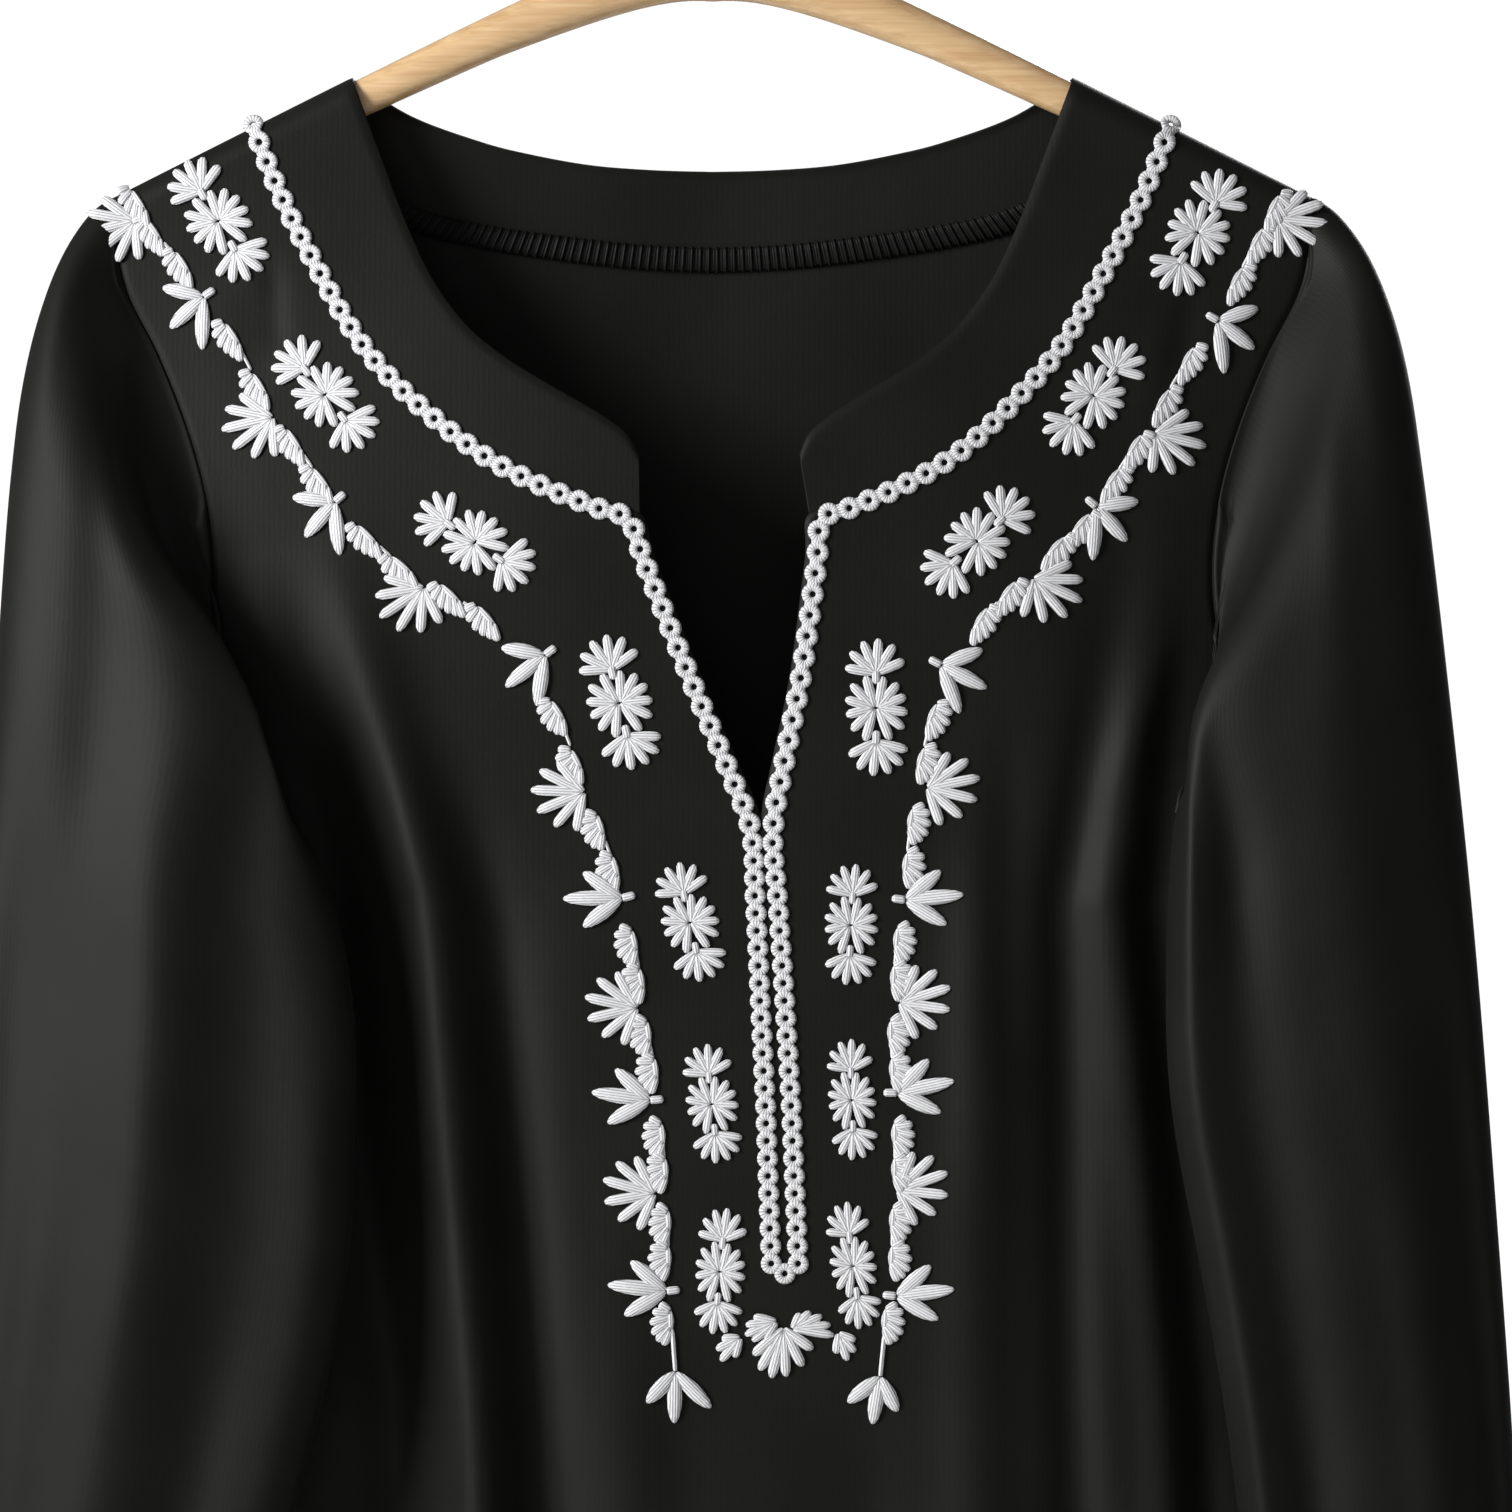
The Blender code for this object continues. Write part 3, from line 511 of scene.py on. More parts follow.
sleeve = {
    "rings": 144, "head": 0.06, "headRings": 26, "around": 132, "radius": 50, "length": 600, "wall": 0.7,
    "tuck": 0.5, "headBlend": 0.2, "seamClear": 1.6, "bodyClear": 6.0, "clearReach": 0.05, "sideClear": 5.0,
    "clearFrom": 140, "backEase": 60, "besideFrom": 0.8, "besideOver": 0.12, "shoulderBunch": 1.4,
    "tuckShare": 0.96, "gatherHeight": 1.6, "gatherAt": 0.035, "gatherReach": 0.05,
    "gatherTurn": 0.35, "gatherSpread": 0.55, "gathers": 8, "innerSquare": 0.5, "outerSquare": 0.8,
}
lap = {  # the sleeve's inner front edge: angles in degrees, levels and distances in mm
    "seekFrom": 40, "seekTo": 215, "moveFrom": 50, "moveOver": 75, "endFrom": 195, "endOver": 60,
    "lastAngle": 200, "top": 60.0, "bottom": 640.0, "step": 8.0, "near": 7, "none": 400,
    "pastSeam": 2, "seamOver": 5, "belowUnderarm": 30, "lift": 5.0, "softness": 1.0,
}
rightEdge = (  # where the fold at the sleeve's inner edge hangs over the front: down, half
    (60, 190), (96, 175), (118, 165.5), (143, 159), (168, 155), (194, 151), (219, 148.5), (244, 146.5),
    (269, 145), (320, 145), (345, 148), (370, 152.5), (420, 162), (500, 172), (620, 184),
)
leftEdge = (
    (60, 189), (96, 177), (118, 168), (143, 159.6), (168, 151), (194, 143), (219, 134.4), (244, 126.5),
    (269, 119), (295, 113.3), (358, 113.3), (383, 115.5), (420, 122), (500, 142), (620, 168),
)
rightSleeve = (  # along, outerDown, outerHalf, outerForward, innerDown, innerHalf, innerForward, depth
    (0.00, 36.5, 195, 0, 216, 189, 0, 17), (0.06, 49, 211, 4, 214, 180, 16, 21),
    (0.13, 74, 221, 12, 224, 160, 27, 24), (0.22, 125, 228, 22, 250, 149, 34, 24),
    (0.32, 190, 235, 30, 290, 145, 38, 22), (0.45, 270, 243, 34, 340, 147, 40, 20),
    (0.60, 360, 250, 36, 405, 158, 41, 19), (0.78, 460, 257, 34, 490, 170, 39, 18),
    (1.00, 585, 262, 30, 600, 180, 35, 17),
)
leftSleeve = (
    (0.00, 36.5, 195, 0, 216, 189, 0, 17), (0.06, 50, 210, 4, 214, 180, 18, 21),
    (0.13, 76, 219, 12, 224, 153, 33, 24), (0.22, 126, 225, 22, 256, 123, 38, 24),
    (0.32, 192, 229, 30, 296, 116, 41, 22), (0.45, 272, 234, 34, 345, 117, 43, 20),
    (0.60, 362, 239, 36, 405, 122, 43, 19), (0.78, 462, 246, 34, 488, 140, 40, 18),
    (1.00, 585, 252, 30, 600, 166, 35, 17),
)
leftSleeveFolds = (  # start, angle at the head and at the cuff, height, width; 0 is the outer edge
    (0.10, 92, 84, 6.5, 17), (0.14, 120, 114, -3, 15), (0.30, 46, 34, -5, 16), (0.25, 250, 268, 4, 20),
    (0.30, 148, 146, 3, 12),
)
rightSleeveFolds = (
    (0.08, 152, 148, 5, 10), (0.12, 122, 118, -6, 13), (0.16, 84, 66, 3.5, 18), (0.25, 282, 262, 4, 20),
    (0.40, 44, 36, -5, 13),
)
leftSleeveCreases = (  # fromAlong, fromAngle, toAlong, toAngle, height, width in degrees
    (0.012, 78, 0.14, 128, -5, 13),
    (0.10, 70, 0.42, 60, -1.3, 9), (0.30, 92, 0.75, 84, 1.2, 9), (0.50, 58, 0.95, 46, 1.2, 10),
    (0.55, 112, 0.98, 120, -1.2, 10), (0.20, 220, 0.60, 236, 1.4, 11), (0.45, 292, 0.95, 300, -1.3, 12),
    (0.04, 330, 0.22, 322, 1.0, 10), (0.04, 28, 0.2, 34, 0.9, 9),
)
rightSleeveCreases = (
    (0.04, 40, 0.2, 48, 0.9, 9), (0.06, 76, 0.34, 72, 1.2, 9), (0.30, 120, 0.72, 116, 1.2, 9),
    (0.45, 84, 0.95, 76, -1.3, 10), (0.60, 40, 0.98, 26, -1.6, 12), (0.20, 238, 0.62, 226, 1.4, 11),
    (0.40, 300, 0.9, 306, -1.2, 12), (0.05, 318, 0.24, 326, 1.0, 10),
)


def armholeEdge(rows, underarmRow, side, depthOf, spread):
    # a side of the armhole, shoulder to underarm, at shares of its length
    at = np.linspace(0, underarmRow, 600)
    _, _, _, half, down = panelEdges(rows, at, False)
    x = side * half
    line = np.stack([x, depthOf(x, down), down], axis=-1)
    length = np.concatenate([[0], np.cumsum(np.linalg.norm(np.diff(line, axis=0), axis=1))])
    return np.stack([np.interp(length[-1] * spread, length, line[:, axis]) for axis in range(3)], axis=-1)


def armholeLoop(side, angle):
    # the closed armhole read at angles: 0 at the shoulder, half a turn at the underarm
    overFront = angle <= math.pi
    spread = (np.where(overFront, angle, 2 * math.pi - angle) / math.pi) ** sleeve["shoulderBunch"]
    front = armholeEdge(frontRows, frontUnderarmRow, side, frontY, spread)
    back = armholeEdge(backRows, backUnderarmRow, side, backY, spread)
    loop = np.where(overFront[:, None], front, back)
    ends = (spread < 1e-9) | (spread > 1 - 1e-9)
    loop[ends, 1] = 0
    loop[:, 0] -= side * sleeve["tuck"]
    loop[:, 1] *= sleeve["tuckShare"]
    return loop


def clearOfBody(x, y, down, along):
    # points inside the body's oval go out of it: forwards over the panels, outwards beside them
    frontHang, frontFold, _ = ovalDepth(x, down, body["frontDepth"], frontFolds)
    backHang, backFold, _ = ovalDepth(x, down, body["backDepth"], backFolds)
    grown = smoothStep(along / sleeve["clearReach"])
    clear = sleeve["seamClear"] + (sleeve["bodyClear"] - sleeve["seamClear"]) * grown
    depth = np.where(y < 0, frontHang + frontFold, backHang + backFold) + clear
    power = squareness(down)
    share = np.clip(np.abs(x) / (closingHalf(down) + 1 + (sleeve["sideClear"] - 1) * grown), 0, 1)
    fill = share**power + (np.abs(y) / depth) ** power
    inside = (fill < 1) & (along > 0.001) & (down > sleeve["clearFrom"])
    outward = np.where(inside, np.clip(fill, 0.05, 1) ** (-1 / power), 1)
    lying = np.where(y < 0, -1, 1) * depth * (1 - share**power) ** (1 / power)
    beside = smoothStep((share - sleeve["besideFrom"]) / sleeve["besideOver"])
    pushedX = x * (1 + (outward - 1) * beside)
    pushedY = y * outward * beside + lying * (1 - beside)
    slowly = smoothStep((down - sleeve["clearFrom"]) / sleeve["backEase"])
    eased = inside * np.where(y < 0, 1, slowly)  # it sets in slowly behind
    return x + (pushedX - x) * eased, y + (pushedY - y) * eased


def sleeveFolds(folds, creases, along, degrees):
    total = np.zeros(np.broadcast(along, degrees).shape)
    for start, headAngle, cuffAngle, height, width in folds:
        line = headAngle + (cuffAngle - headAngle) * along
        total += height * smoothStep((along - start) / 0.2) * np.exp(-(((degrees - line) / width) ** 2))
    for fromAlong, fromAngle, toAlong, toAngle, height, width in creases:
        share = (along - fromAlong) / (toAlong - fromAlong)
        line = fromAngle + (toAngle - fromAngle) * share
        total += height * fadeOut(share) * np.exp(-(((degrees - line) / width) ** 2))
    return total


def foldOverFront(side, edgeRows, x, y, down, along, angle):
    # draws the sleeve's inner front edge onto its line and lays what laps the front clear above it:
    # each level's shift is the gap between the line and the innermost point there
    facing = (angle > math.radians(lap["seekFrom"])) & (angle < math.radians(lap["seekTo"]))
    levels = np.arange(lap["top"], lap["bottom"], lap["step"])
    half = np.abs(x[:, facing]).ravel()
    nearest = np.abs(down[:, facing].ravel()[None, :] - levels[:, None]) < lap["near"]
    innermost = np.where(nearest, half[None, :], lap["none"]).min(axis=1)
    wanted = np.interp(levels, *zip(*edgeRows))
    shift = np.where(innermost < lap["none"], wanted - innermost, 0)
    shift = np.convolve(np.pad(shift, 2, mode="edge"), np.ones(5) / 5, mode="valid")  # mean of five levels
    degrees = np.degrees(angle)[None, :]
    share = smoothStep((degrees - lap["moveFrom"]) / lap["moveOver"]) * smoothStep(along / 0.03)
    share = share * (1 - smoothStep((degrees - lap["endFrom"]) / lap["endOver"]))
    x = x + side * np.interp(down, levels, shift) * share
    _, _, seamDown, seamHalf = zip(*frontRows[:frontUnderarmRow + 1])
    over = smoothStep((np.interp(down, seamDown, seamHalf) + lap["pastSeam"] - np.abs(x)) / lap["seamOver"])
    over = over * (degrees < lap["lastAngle"]) * (down < body["underarmDown"] + lap["belowUnderarm"])
    above = frontY(x, down) - lap["lift"] * smoothStep(along / 0.02)
    soft = lap["softness"]
    lying = -np.logaddexp(-y / soft, -above / soft) * soft
    return x, y + (lying - y) * over


def sleeveSurface(side, rings, edgeRows, folds, creases, along, angle):
    # flattened ovals from the inner to the outer edge, begun as the armhole and eased over the head
    at = np.interp(along, [row[0] for row in rings], np.arange(len(rings)))
    columns = [values[:, None] for values in columnsAt(rings, at)]
    _, outerDown, outerHalf, outerForward, innerDown, innerHalf, innerForward, depth = columns
    turn = (1 + np.cos(angle))[None, :] / 2
    wave = np.sin(angle)[None, :]
    along = along[:, None]
    half = innerHalf + (outerHalf - innerHalf) * turn
    down = innerDown + (outerDown - innerDown) * turn
    forward = innerForward + (outerForward - innerForward) * turn
    folded = sleeveFolds(folds, creases, along, np.degrees(angle)[None, :])
    inward = smoothStep((1 - np.cos(angle)) / 2 * 1.3)[None, :]
    square = sleeve["outerSquare"] + (sleeve["innerSquare"] - sleeve["outerSquare"]) * inward
    swell = depth * np.sign(wave) * np.abs(wave) ** square
    loop = armholeLoop(side, angle)
    held = (1 - np.clip(along / sleeve["headBlend"], 0, 1)) ** 2
    x = side * half * (1 - held) + loop[None, :, 0] * held
    y = (-forward - swell - folded * wave) * (1 - held) + loop[None, :, 1] * held
    down = down * (1 - held) + loop[None, :, 2] * held
    x, y = clearOfBody(x, y, down, along)
    x, y = foldOverFront(side, edgeRows, x, y, down, along, angle)
    turned = np.angle(np.exp(1j * (angle - sleeve["gatherTurn"])))
    nearHead = np.exp(-((turned / sleeve["gatherSpread"]) ** 2))[None, :]
    fade = np.exp(-(((along - sleeve["gatherAt"]) / sleeve["gatherReach"]) ** 2)) * smoothStep(along / 0.008)
    x = x + side * sleeve["gatherHeight"] * nearHead * fade * np.cos(sleeve["gathers"] * angle)[None, :]
    return x, y, down


def buildSleeve(name, side, rings, edgeRows, folds, creases, node):
    head, headRings = sleeve["head"], sleeve["headRings"]
    along = np.append(np.linspace(0, head, headRings, endpoint=False), np.linspace(head, 1, sleeve["rings"]))
    angle = turns(sleeve["around"])
    x, y, down = sleeveSurface(side, rings, edgeRows, folds, creases, along, angle)
    uv = np.broadcast_arrays(angle[None, :] * sleeve["radius"] * mm, along[:, None] * sleeve["length"] * mm)
    faces = gridQuads(*x.shape, around=True, flip=side < 0)
    piece = addPiece(name, place(x, y, down), faces, crepeCloth, np.stack(uv, axis=-1))
    hangCloth(piece, sleeve["wall"], node)


buildSleeve("sleeveLeft", -1, leftSleeve, leftEdge, leftSleeveFolds, leftSleeveCreases,
            "sleeve_left")
buildSleeve("sleeveRight", 1, rightSleeve, rightEdge, rightSleeveFolds, rightSleeveCreases,
            "sleeve_right")
print("sleeves set in")


# The back band's seam: its allowance is turned up inside the neck and bound with black thread

overlock = {  # the strip from gap below the seam up the band, and the bars of thread over it
    "gap": -1.3, "width": 8.0, "thick": 1.8, "blunt": 0.6, "firstRow": 0.35, "rows": 260, "around": 10,
    "pitch": 2.8, "thread": 1.1, "overEdge": 0.5, "barRows": 8, "barAround": 6, "sink": 0.15,
}


def seamRoute(count):
    # even places along the seam from shoulder to shoulder, with the unit way up the band, and its length
    at = np.linspace(overlock["firstRow"], len(backBandRows) - 1, 400)
    edgeDown, edgeHalf, seamDown, seamHalf = columnsAt(backBandRows, at)
    x, down, upX, upDown = (
        np.concatenate([values, sign * values[-2::-1]]) for values, sign in
        ((-seamHalf, -1), (seamDown, 1), (seamHalf - edgeHalf, -1), (edgeDown - seamDown, 1))
    )
    length = np.concatenate([[0], np.cumsum(np.hypot(np.diff(x), np.diff(down)))])
    wanted = np.linspace(0, length[-1], count)
    x, down, upX, upDown = (np.interp(wanted, length, values) for values in (x, down, upX, upDown))
    size = np.hypot(upX, upDown)
    return (x, down, upX / size, upDown / size), length[-1]


def onBackBand(route, up, aside, rise):
    # places up the band and beside the route, raised into the neck from the band's inner face
    x, down, upX, upDown = (values.reshape((-1,) + (1,) * (up.ndim - 1)) for values in route)
    across, level = x + upX * up - upDown * aside, down + upDown * up + upX * aside
    return place(across, backY(across, level) - band["wall"] - rise, level)


def buildOverlock():
    # a flat blunt tube for the allowance, and over it a bar of thread at each pitch
    route, length = seamRoute(overlock["rows"])
    taper = np.sqrt(np.clip(1 - np.linspace(-1, 1, overlock["rows"])[:, None] ** 40, 1e-4, 1))
    section = turns(overlock["around"])[None, :]
    blunt = np.sign(np.sin(section)) * np.abs(np.sin(section)) ** overlock["blunt"]
    up = overlock["gap"] + overlock["width"] / 2 * (1 + np.cos(section) * taper)
    strip = onBackBand(route, up, 0 * up, overlock["thick"] / 2 * (1 + blunt * taper))
    stripUv = np.stack(np.broadcast_arrays(route[0][:, None], up), axis=-1) * mm
    count, barRows, barAround = round(length / overlock["pitch"]), overlock["barRows"], overlock["barAround"]
    along = easedShares(barRows)[None, :, None]
    ends = np.sqrt(np.clip(1 - (2 * along - 1) ** 8, 0, 1))  # full in the middle, drawn in at both ends
    up = overlock["gap"] - overlock["overEdge"] + (overlock["width"] + 2 * overlock["overEdge"]) * along
    section = turns(barAround)[None, None, :]
    up, section, ends = np.broadcast_arrays(up + np.zeros((count, 1, 1)), section, ends)
    aside = overlock["thread"] / 2 * ends * np.cos(section)
    rise = overlock["thick"] * ends - overlock["sink"] + overlock["thread"] / 3 * ends * (1 + np.sin(section))
    bars = onBackBand(seamRoute(count)[0], up, aside, rise)
    barQuads = repeatQuads(gridQuads(barRows, barAround, around=True), count, barRows * barAround)
    faces = np.concatenate([gridQuads(*strip.shape[:2], around=True), barQuads + strip[..., 0].size])
    uv = np.concatenate([stripUv.reshape(-1, 2), np.stack([aside, up], axis=-1).reshape(-1, 2) * mm])
    points = np.concatenate([strip.reshape(-1, 3), bars.reshape(-1, 3)])
    dress(addPiece("backSeamOverlock", points, faces, blackThread, uv, merge=True), "cloth")


buildOverlock()
print("back seam overlocked")


# Everything sewn on the front lies on its face, lifted along the face's normal

def onFront(x, down, lift):
    # the front's surface at x, down, moved out along its unit normal; it runs on level past the armhole
    step, armhole = 0.3, 188.0

    def faceY(across, level):
        return frontY(np.clip(across, -armhole, armhole), level)

    slopeX = (faceY(x + step, down) - faceY(x - step, down)) / (2 * step)
    slopeDown = (faceY(x, down + step) - faceY(x, down - step)) / (2 * step)
    length = np.sqrt(slopeX**2 + 1 + slopeDown**2)
    return place(x + lift * slopeX / length, faceY(x, down) - lift / length, down + lift * slopeDown / length)


trimRows = (  # middle of the ring chain: down, half
    (12.8, 148), (37, 138.4), (60, 127), (86, 112), (105, 95), (121, 76), (131, 58), (138, 41), (142, 31),
    (155, 27.7), (173, 23), (193, 17.6), (220, 9.3), (241, 3.6), (264, 3.6), (296, 3.9), (328, 4.1),
    (354, 4.2), (380, 4.3),
)
ring = {
    "outer": 7.2, "hole": 1.9, "pitch": 6.75,                # on the neck and the slit
    "lowOuter": 6.8, "lowHole": 1.8, "lowPitch": 5.6,        # below the slit
    "changeDown": 236.0, "changeOver": 14.0, "firstRow": 0.16, "lift": 0.15, "height": 1.1,
    "segments": 20, "profile": 6, "lastDown": 383.2, "linkLength": 3.0, "linkWidth": 4.4, "linkLess": 0.15,
}
photoPlane = {  # the sprays' places are given on a plane this far from the camera, opposite x and down
    "x": 14.1, "down": 217.6, "measured": 2000.0, "hangerAt": 2030.0,
}


def offPlane(x, down):
    # places given on the photo's plane go along the line of sight to the cloth
    depth = (photoPlane["hangerAt"] + frontY(x, down)) / photoPlane["measured"]
    middleX, middleDown = photoPlane["x"], photoPlane["down"]
    return middleX + (x - middleX) * depth, middleDown + (down - middleDown) * depth


def ringCentres(side):
    # walks the trim's path a pitch at a time, with smaller steps below the slit
    down, half = columnsAt(trimRows, np.linspace(ring["firstRow"], len(trimRows) - 1, 4000))
    x, down = offPlane(side * half + drift(down), down)
    small = smoothStep((down - ring["changeDown"]) / ring["changeOver"])
    pitch = ring["pitch"] + (ring["lowPitch"] - ring["pitch"]) * small
    steps = np.hypot(np.diff(x), np.diff(down)) / ((pitch[1:] + pitch[:-1]) / 2)
    count = np.concatenate([[0], np.cumsum(steps)])
    wanted = np.arange(math.floor(count[-1]) + 1) * count[-1] / math.floor(count[-1])
    return [np.interp(wanted, count, values) for values in (x, down, small)]


def ringPoints(x, down, small):
    # a flattened ring of satin stitches: an oval tube, resting on the cloth, round each centre
    outer = ring["outer"] + (ring["lowOuter"] - ring["outer"]) * small
    hole = ring["hole"] + (ring["lowHole"] - ring["hole"]) * small
    middle, tube = (outer + hole) / 4, (outer - hole) / 4
    x, down, middle, tube = (values[:, None, None] for values in (x, down, middle, tube))
    turn, section = turns(ring["segments"])[None, :, None], turns(ring["profile"])[None, None, :]
    radius = middle + tube * np.cos(section)
    lift = ring["lift"] + ring["height"] / 2 * (1 + np.sin(section)) + 0 * turn
    uv = np.stack(np.broadcast_arrays(turn * middle * mm, section * tube * mm), axis=-1)
    return onFront(x + radius * np.cos(turn), down + radius * np.sin(turn), lift), uv


def buildRingChain(name, side, node):
    x, down, small = ringCentres(side)
    if side < 0:  # one ring under the centre joins both runs
        last = drift(trimRows[-1][0]), ring["lastDown"], 1
        x, down, small = (np.append(values, value) for values, value in zip((x, down, small), last))
    segments, profile = ring["segments"], ring["profile"]
    quads = np.roll(gridQuads(segments, profile, around=True, flip=True, closed=True), 1, axis=1)
    points, uv = ringPoints(x, down, small)
    faces = repeatQuads(quads, len(x), segments * profile)
    dress(addPiece(name, points, faces, whiteFloss, uv), "thread", node)


buildRingChain("ringChainLeft", -1, "ring_trim_left")
buildRingChain("ringChainRight", 1, "ring_trim_right")
print("ring chains couched")


# Petals: each a bundle of floss from a base to a tip, raised in the middle

petal = {"around": 7, "along": 8, "height": 0.5, "lift": 0.22}


def petalRows(x, down, angles, lengths, form):
    # a row for each petal: x, down, direction in radians, length, and the four values of its form
    directions, lengths = np.radians(np.asarray(angles, float)), np.asarray(lengths, float)
    return np.stack(np.broadcast_arrays(x, down, directions, lengths, *form.values()), axis=-1)


def petalProfile(along, pointed, base):
    # half width: a club, widest near its round tip, mixed with a lance, widest in the middle
    tip = np.clip((along - 0.78) / 0.22, 0, 1)
    club = (base + (1 - base) * smoothStep(along / 0.62)) * np.sqrt(np.clip(1 - tip**2, 0, 1))
    lance = np.sin(math.pi * np.clip(along, 0, 1) ** 0.85) ** 0.8
    start = np.sqrt(np.clip(along / 0.05, 0, 1))
    return ((1 - pointed) * club + pointed * lance) * start


def buildPetals(name, rows, onPlane=True):
    # tubes with oval sections between two closed ends, bent onto the cloth
    x, down, direction, length, width, pointed, base, height = np.concatenate(rows).T[:, :, None, None]
    if onPlane:
        x, down = offPlane(x, down)
    along = easedShares(petal["along"] + 1)[None, :, None]
    section = turns(petal["around"])[None, None, :]
    half = width / 2 * petalProfile(along, pointed, base)
    forward = along * length
    aside = half * np.cos(section)
    dome = height * petal["height"] * half / (width / 2)
    pointX = x + forward * np.cos(direction) + aside * np.sin(direction)
    pointDown = down - forward * np.sin(direction) + aside * np.cos(direction)
    points = onFront(pointX, pointDown, petal["lift"] + dome * (1 + np.sin(section)))
    uv = np.stack(np.broadcast_arrays(aside * mm, forward * mm), axis=-1)
    count, rings, around = points.shape[:3]
    faces = repeatQuads(gridQuads(rings, around, around=True), count, rings * around)
    dress(addPiece(name, points, faces, whiteFloss, uv, merge=True), "thread")


forms = {  # widths and heights in mm; pointed 0 is a club and 1 a lance; base is the width where it starts
    "flower": {"width": 3.35, "pointed": 0.06, "base": 0.72, "height": 1.1},
    "fan": {"width": 3.7, "pointed": 0.1, "base": 0.62, "height": 1.2},
    "bud": {"width": 3.0, "pointed": 0.12, "base": 0.8, "height": 1.1},
    "lily": {"width": 5.3, "pointed": 0.6, "base": 0.5, "height": 1.5},
    "stub": {"width": 2.7, "pointed": 0.05, "base": 1.0, "height": 1.2},
    "stem": {"width": 1.5, "pointed": 0.0, "base": 1.0, "height": 0.9},
    "spine": {"width": 2.6, "pointed": 0.9, "base": 0.8, "height": 1.0},
    "link": {"width": 1.1, "pointed": 0.0, "base": 1.0, "height": 0.6},
}


def ringLinks(side):
    # a short wide stitch over each place where two rings meet
    x, down, small = ringCentres(side)
    way = np.arctan2(down[:-1] - down[1:], x[1:] - x[:-1])
    back = ring["linkLength"] / 2
    middleX, middleDown = (x[1:] + x[:-1]) / 2, (down[1:] + down[:-1]) / 2
    form = dict(forms["stem"], width=ring["linkWidth"] * (1 - ring["linkLess"] * small[1:]))
    return petalRows(middleX - back * np.cos(way), middleDown + back * np.sin(way), np.degrees(way),
                     ring["linkLength"], form)


buildPetals("ringLinks", [ringLinks(-1), ringLinks(1)], onPlane=False)


def clusterRows(x, down, lean, squeeze, scale):
    # three flowers in a stack: a fan up, a round one of two halves, a fan down; lean turns the stack
    turn = math.radians(lean)

    def part(across, up, angles, lengths, form):
        radians = np.radians(np.asarray(angles, float))
        runX, runUp = np.cos(radians) * squeeze, np.sin(radians)
        lengths = np.asarray(lengths, float) * np.hypot(runX, runUp) * scale
        across, up = across * squeeze * scale, up * scale
        placeX = x + across * math.cos(turn) - up * math.sin(turn)
        placeDown = down - across * math.sin(turn) - up * math.cos(turn)
        stitched = dict(forms[form], width=forms[form]["width"] * scale * (1 + squeeze) / 2)
        return petalRows(placeX, placeDown, np.degrees(np.arctan2(runUp, runX)) + lean, lengths, stitched)

    return [
        part(0, 11.0, (170, 142, 114, 86, 57, 24), (10.6, 11.2, 11.4, 11.4, 11.2, 10.4), "flower"),
        part(0, 12.0, (-90,), (4.4,), "stub"),
        part(0.6, 0, (80, 50, 22, -8, -37, -68), (10.4, 10.6, 10.2, 10.2, 11, 11.2), "flower"),
        part(-0.6, 0, (106, 136, 164, 194, 224, 254), (10.8, 11, 10.2, 9.8, 10.6, 11.2), "flower"),
        part(0, -10.8, (206, 236, 265, 294, 320, 346), (10.2, 10.8, 11.2, 11.4, 11.6, 11), "flower"),
        part(0, -11.6, (90,), (4.4,), "stub"),
    ]


clusters = (  # x, down, lean (positive puts the lower end right of the upper), squeeze, scale
    (-158.0, 46.4, 30, 1.0, 1.0), (-123.8, 102.0, 38, 1.0, 0.98), (-75.8, 149.2, 55, 1.0, 0.98),
    (-29.6, 200.6, 13, 1.0, 1.0), (-7.0, 270.9, 12, 1.0, 0.88), (0.0, 329.0, 6, 0.92, 0.87),
    (2.6, 382.6, -5, 0.84, 0.92),
    (155.5, 50.2, -31, 1.0, 1.0), (122.1, 102.4, -38, 1.0, 0.98), (84.8, 149.0, -48, 1.0, 0.98),
    (52.5, 202.2, 0, 0.96, 1.0), (44.5, 271.7, -3, 0.94, 0.88), (44.8, 327.7, 2, 0.84, 0.88),
    (45.2, 380.8, 7, 0.76, 0.93),
)
buildPetals("flowerClusters", [part for row in clusters for part in clusterRows(*row)])
print("inner flowers stitched")


# The outer vine: a repeat of fan, two buds, lily, two buds, whose bases follow the vine

leftVine = (  # base of each motif from the shoulder down: x, down
    (-183.4, 40.4), (-184.6, 46.4), (-178.6, 49.6), (-169.3, 60.2), (-162.6, 70.7), (-153.3, 83.2),
    (-144.6, 99.2), (-140.6, 109.4), (-133.6, 117.0), (-125.0, 129.3), (-120.6, 136.3), (-110.1, 147.2),
    (-99.2, 156.8), (-92.2, 163.8), (-83.6, 165.9), (-72, 173.1), (-53.4, 185.3), (-49.3, 203.5),
    (-43.4, 219.2), (-41.0, 229.2), (-35.8, 240.1), (-31, 253.4), (-28.8, 263), (-25, 277.1), (-22.7, 289.3),
    (-24, 298.2), (-20.5, 306.3), (-18.2, 318.1), (-19.8, 327.7), (-16, 338.9), (-15, 350.1),
    (-18.4, 357.6), (-14.1, 366.8), (-14.1, 378.2), (-14.6, 388.8), (-13.4, 398.7),
)
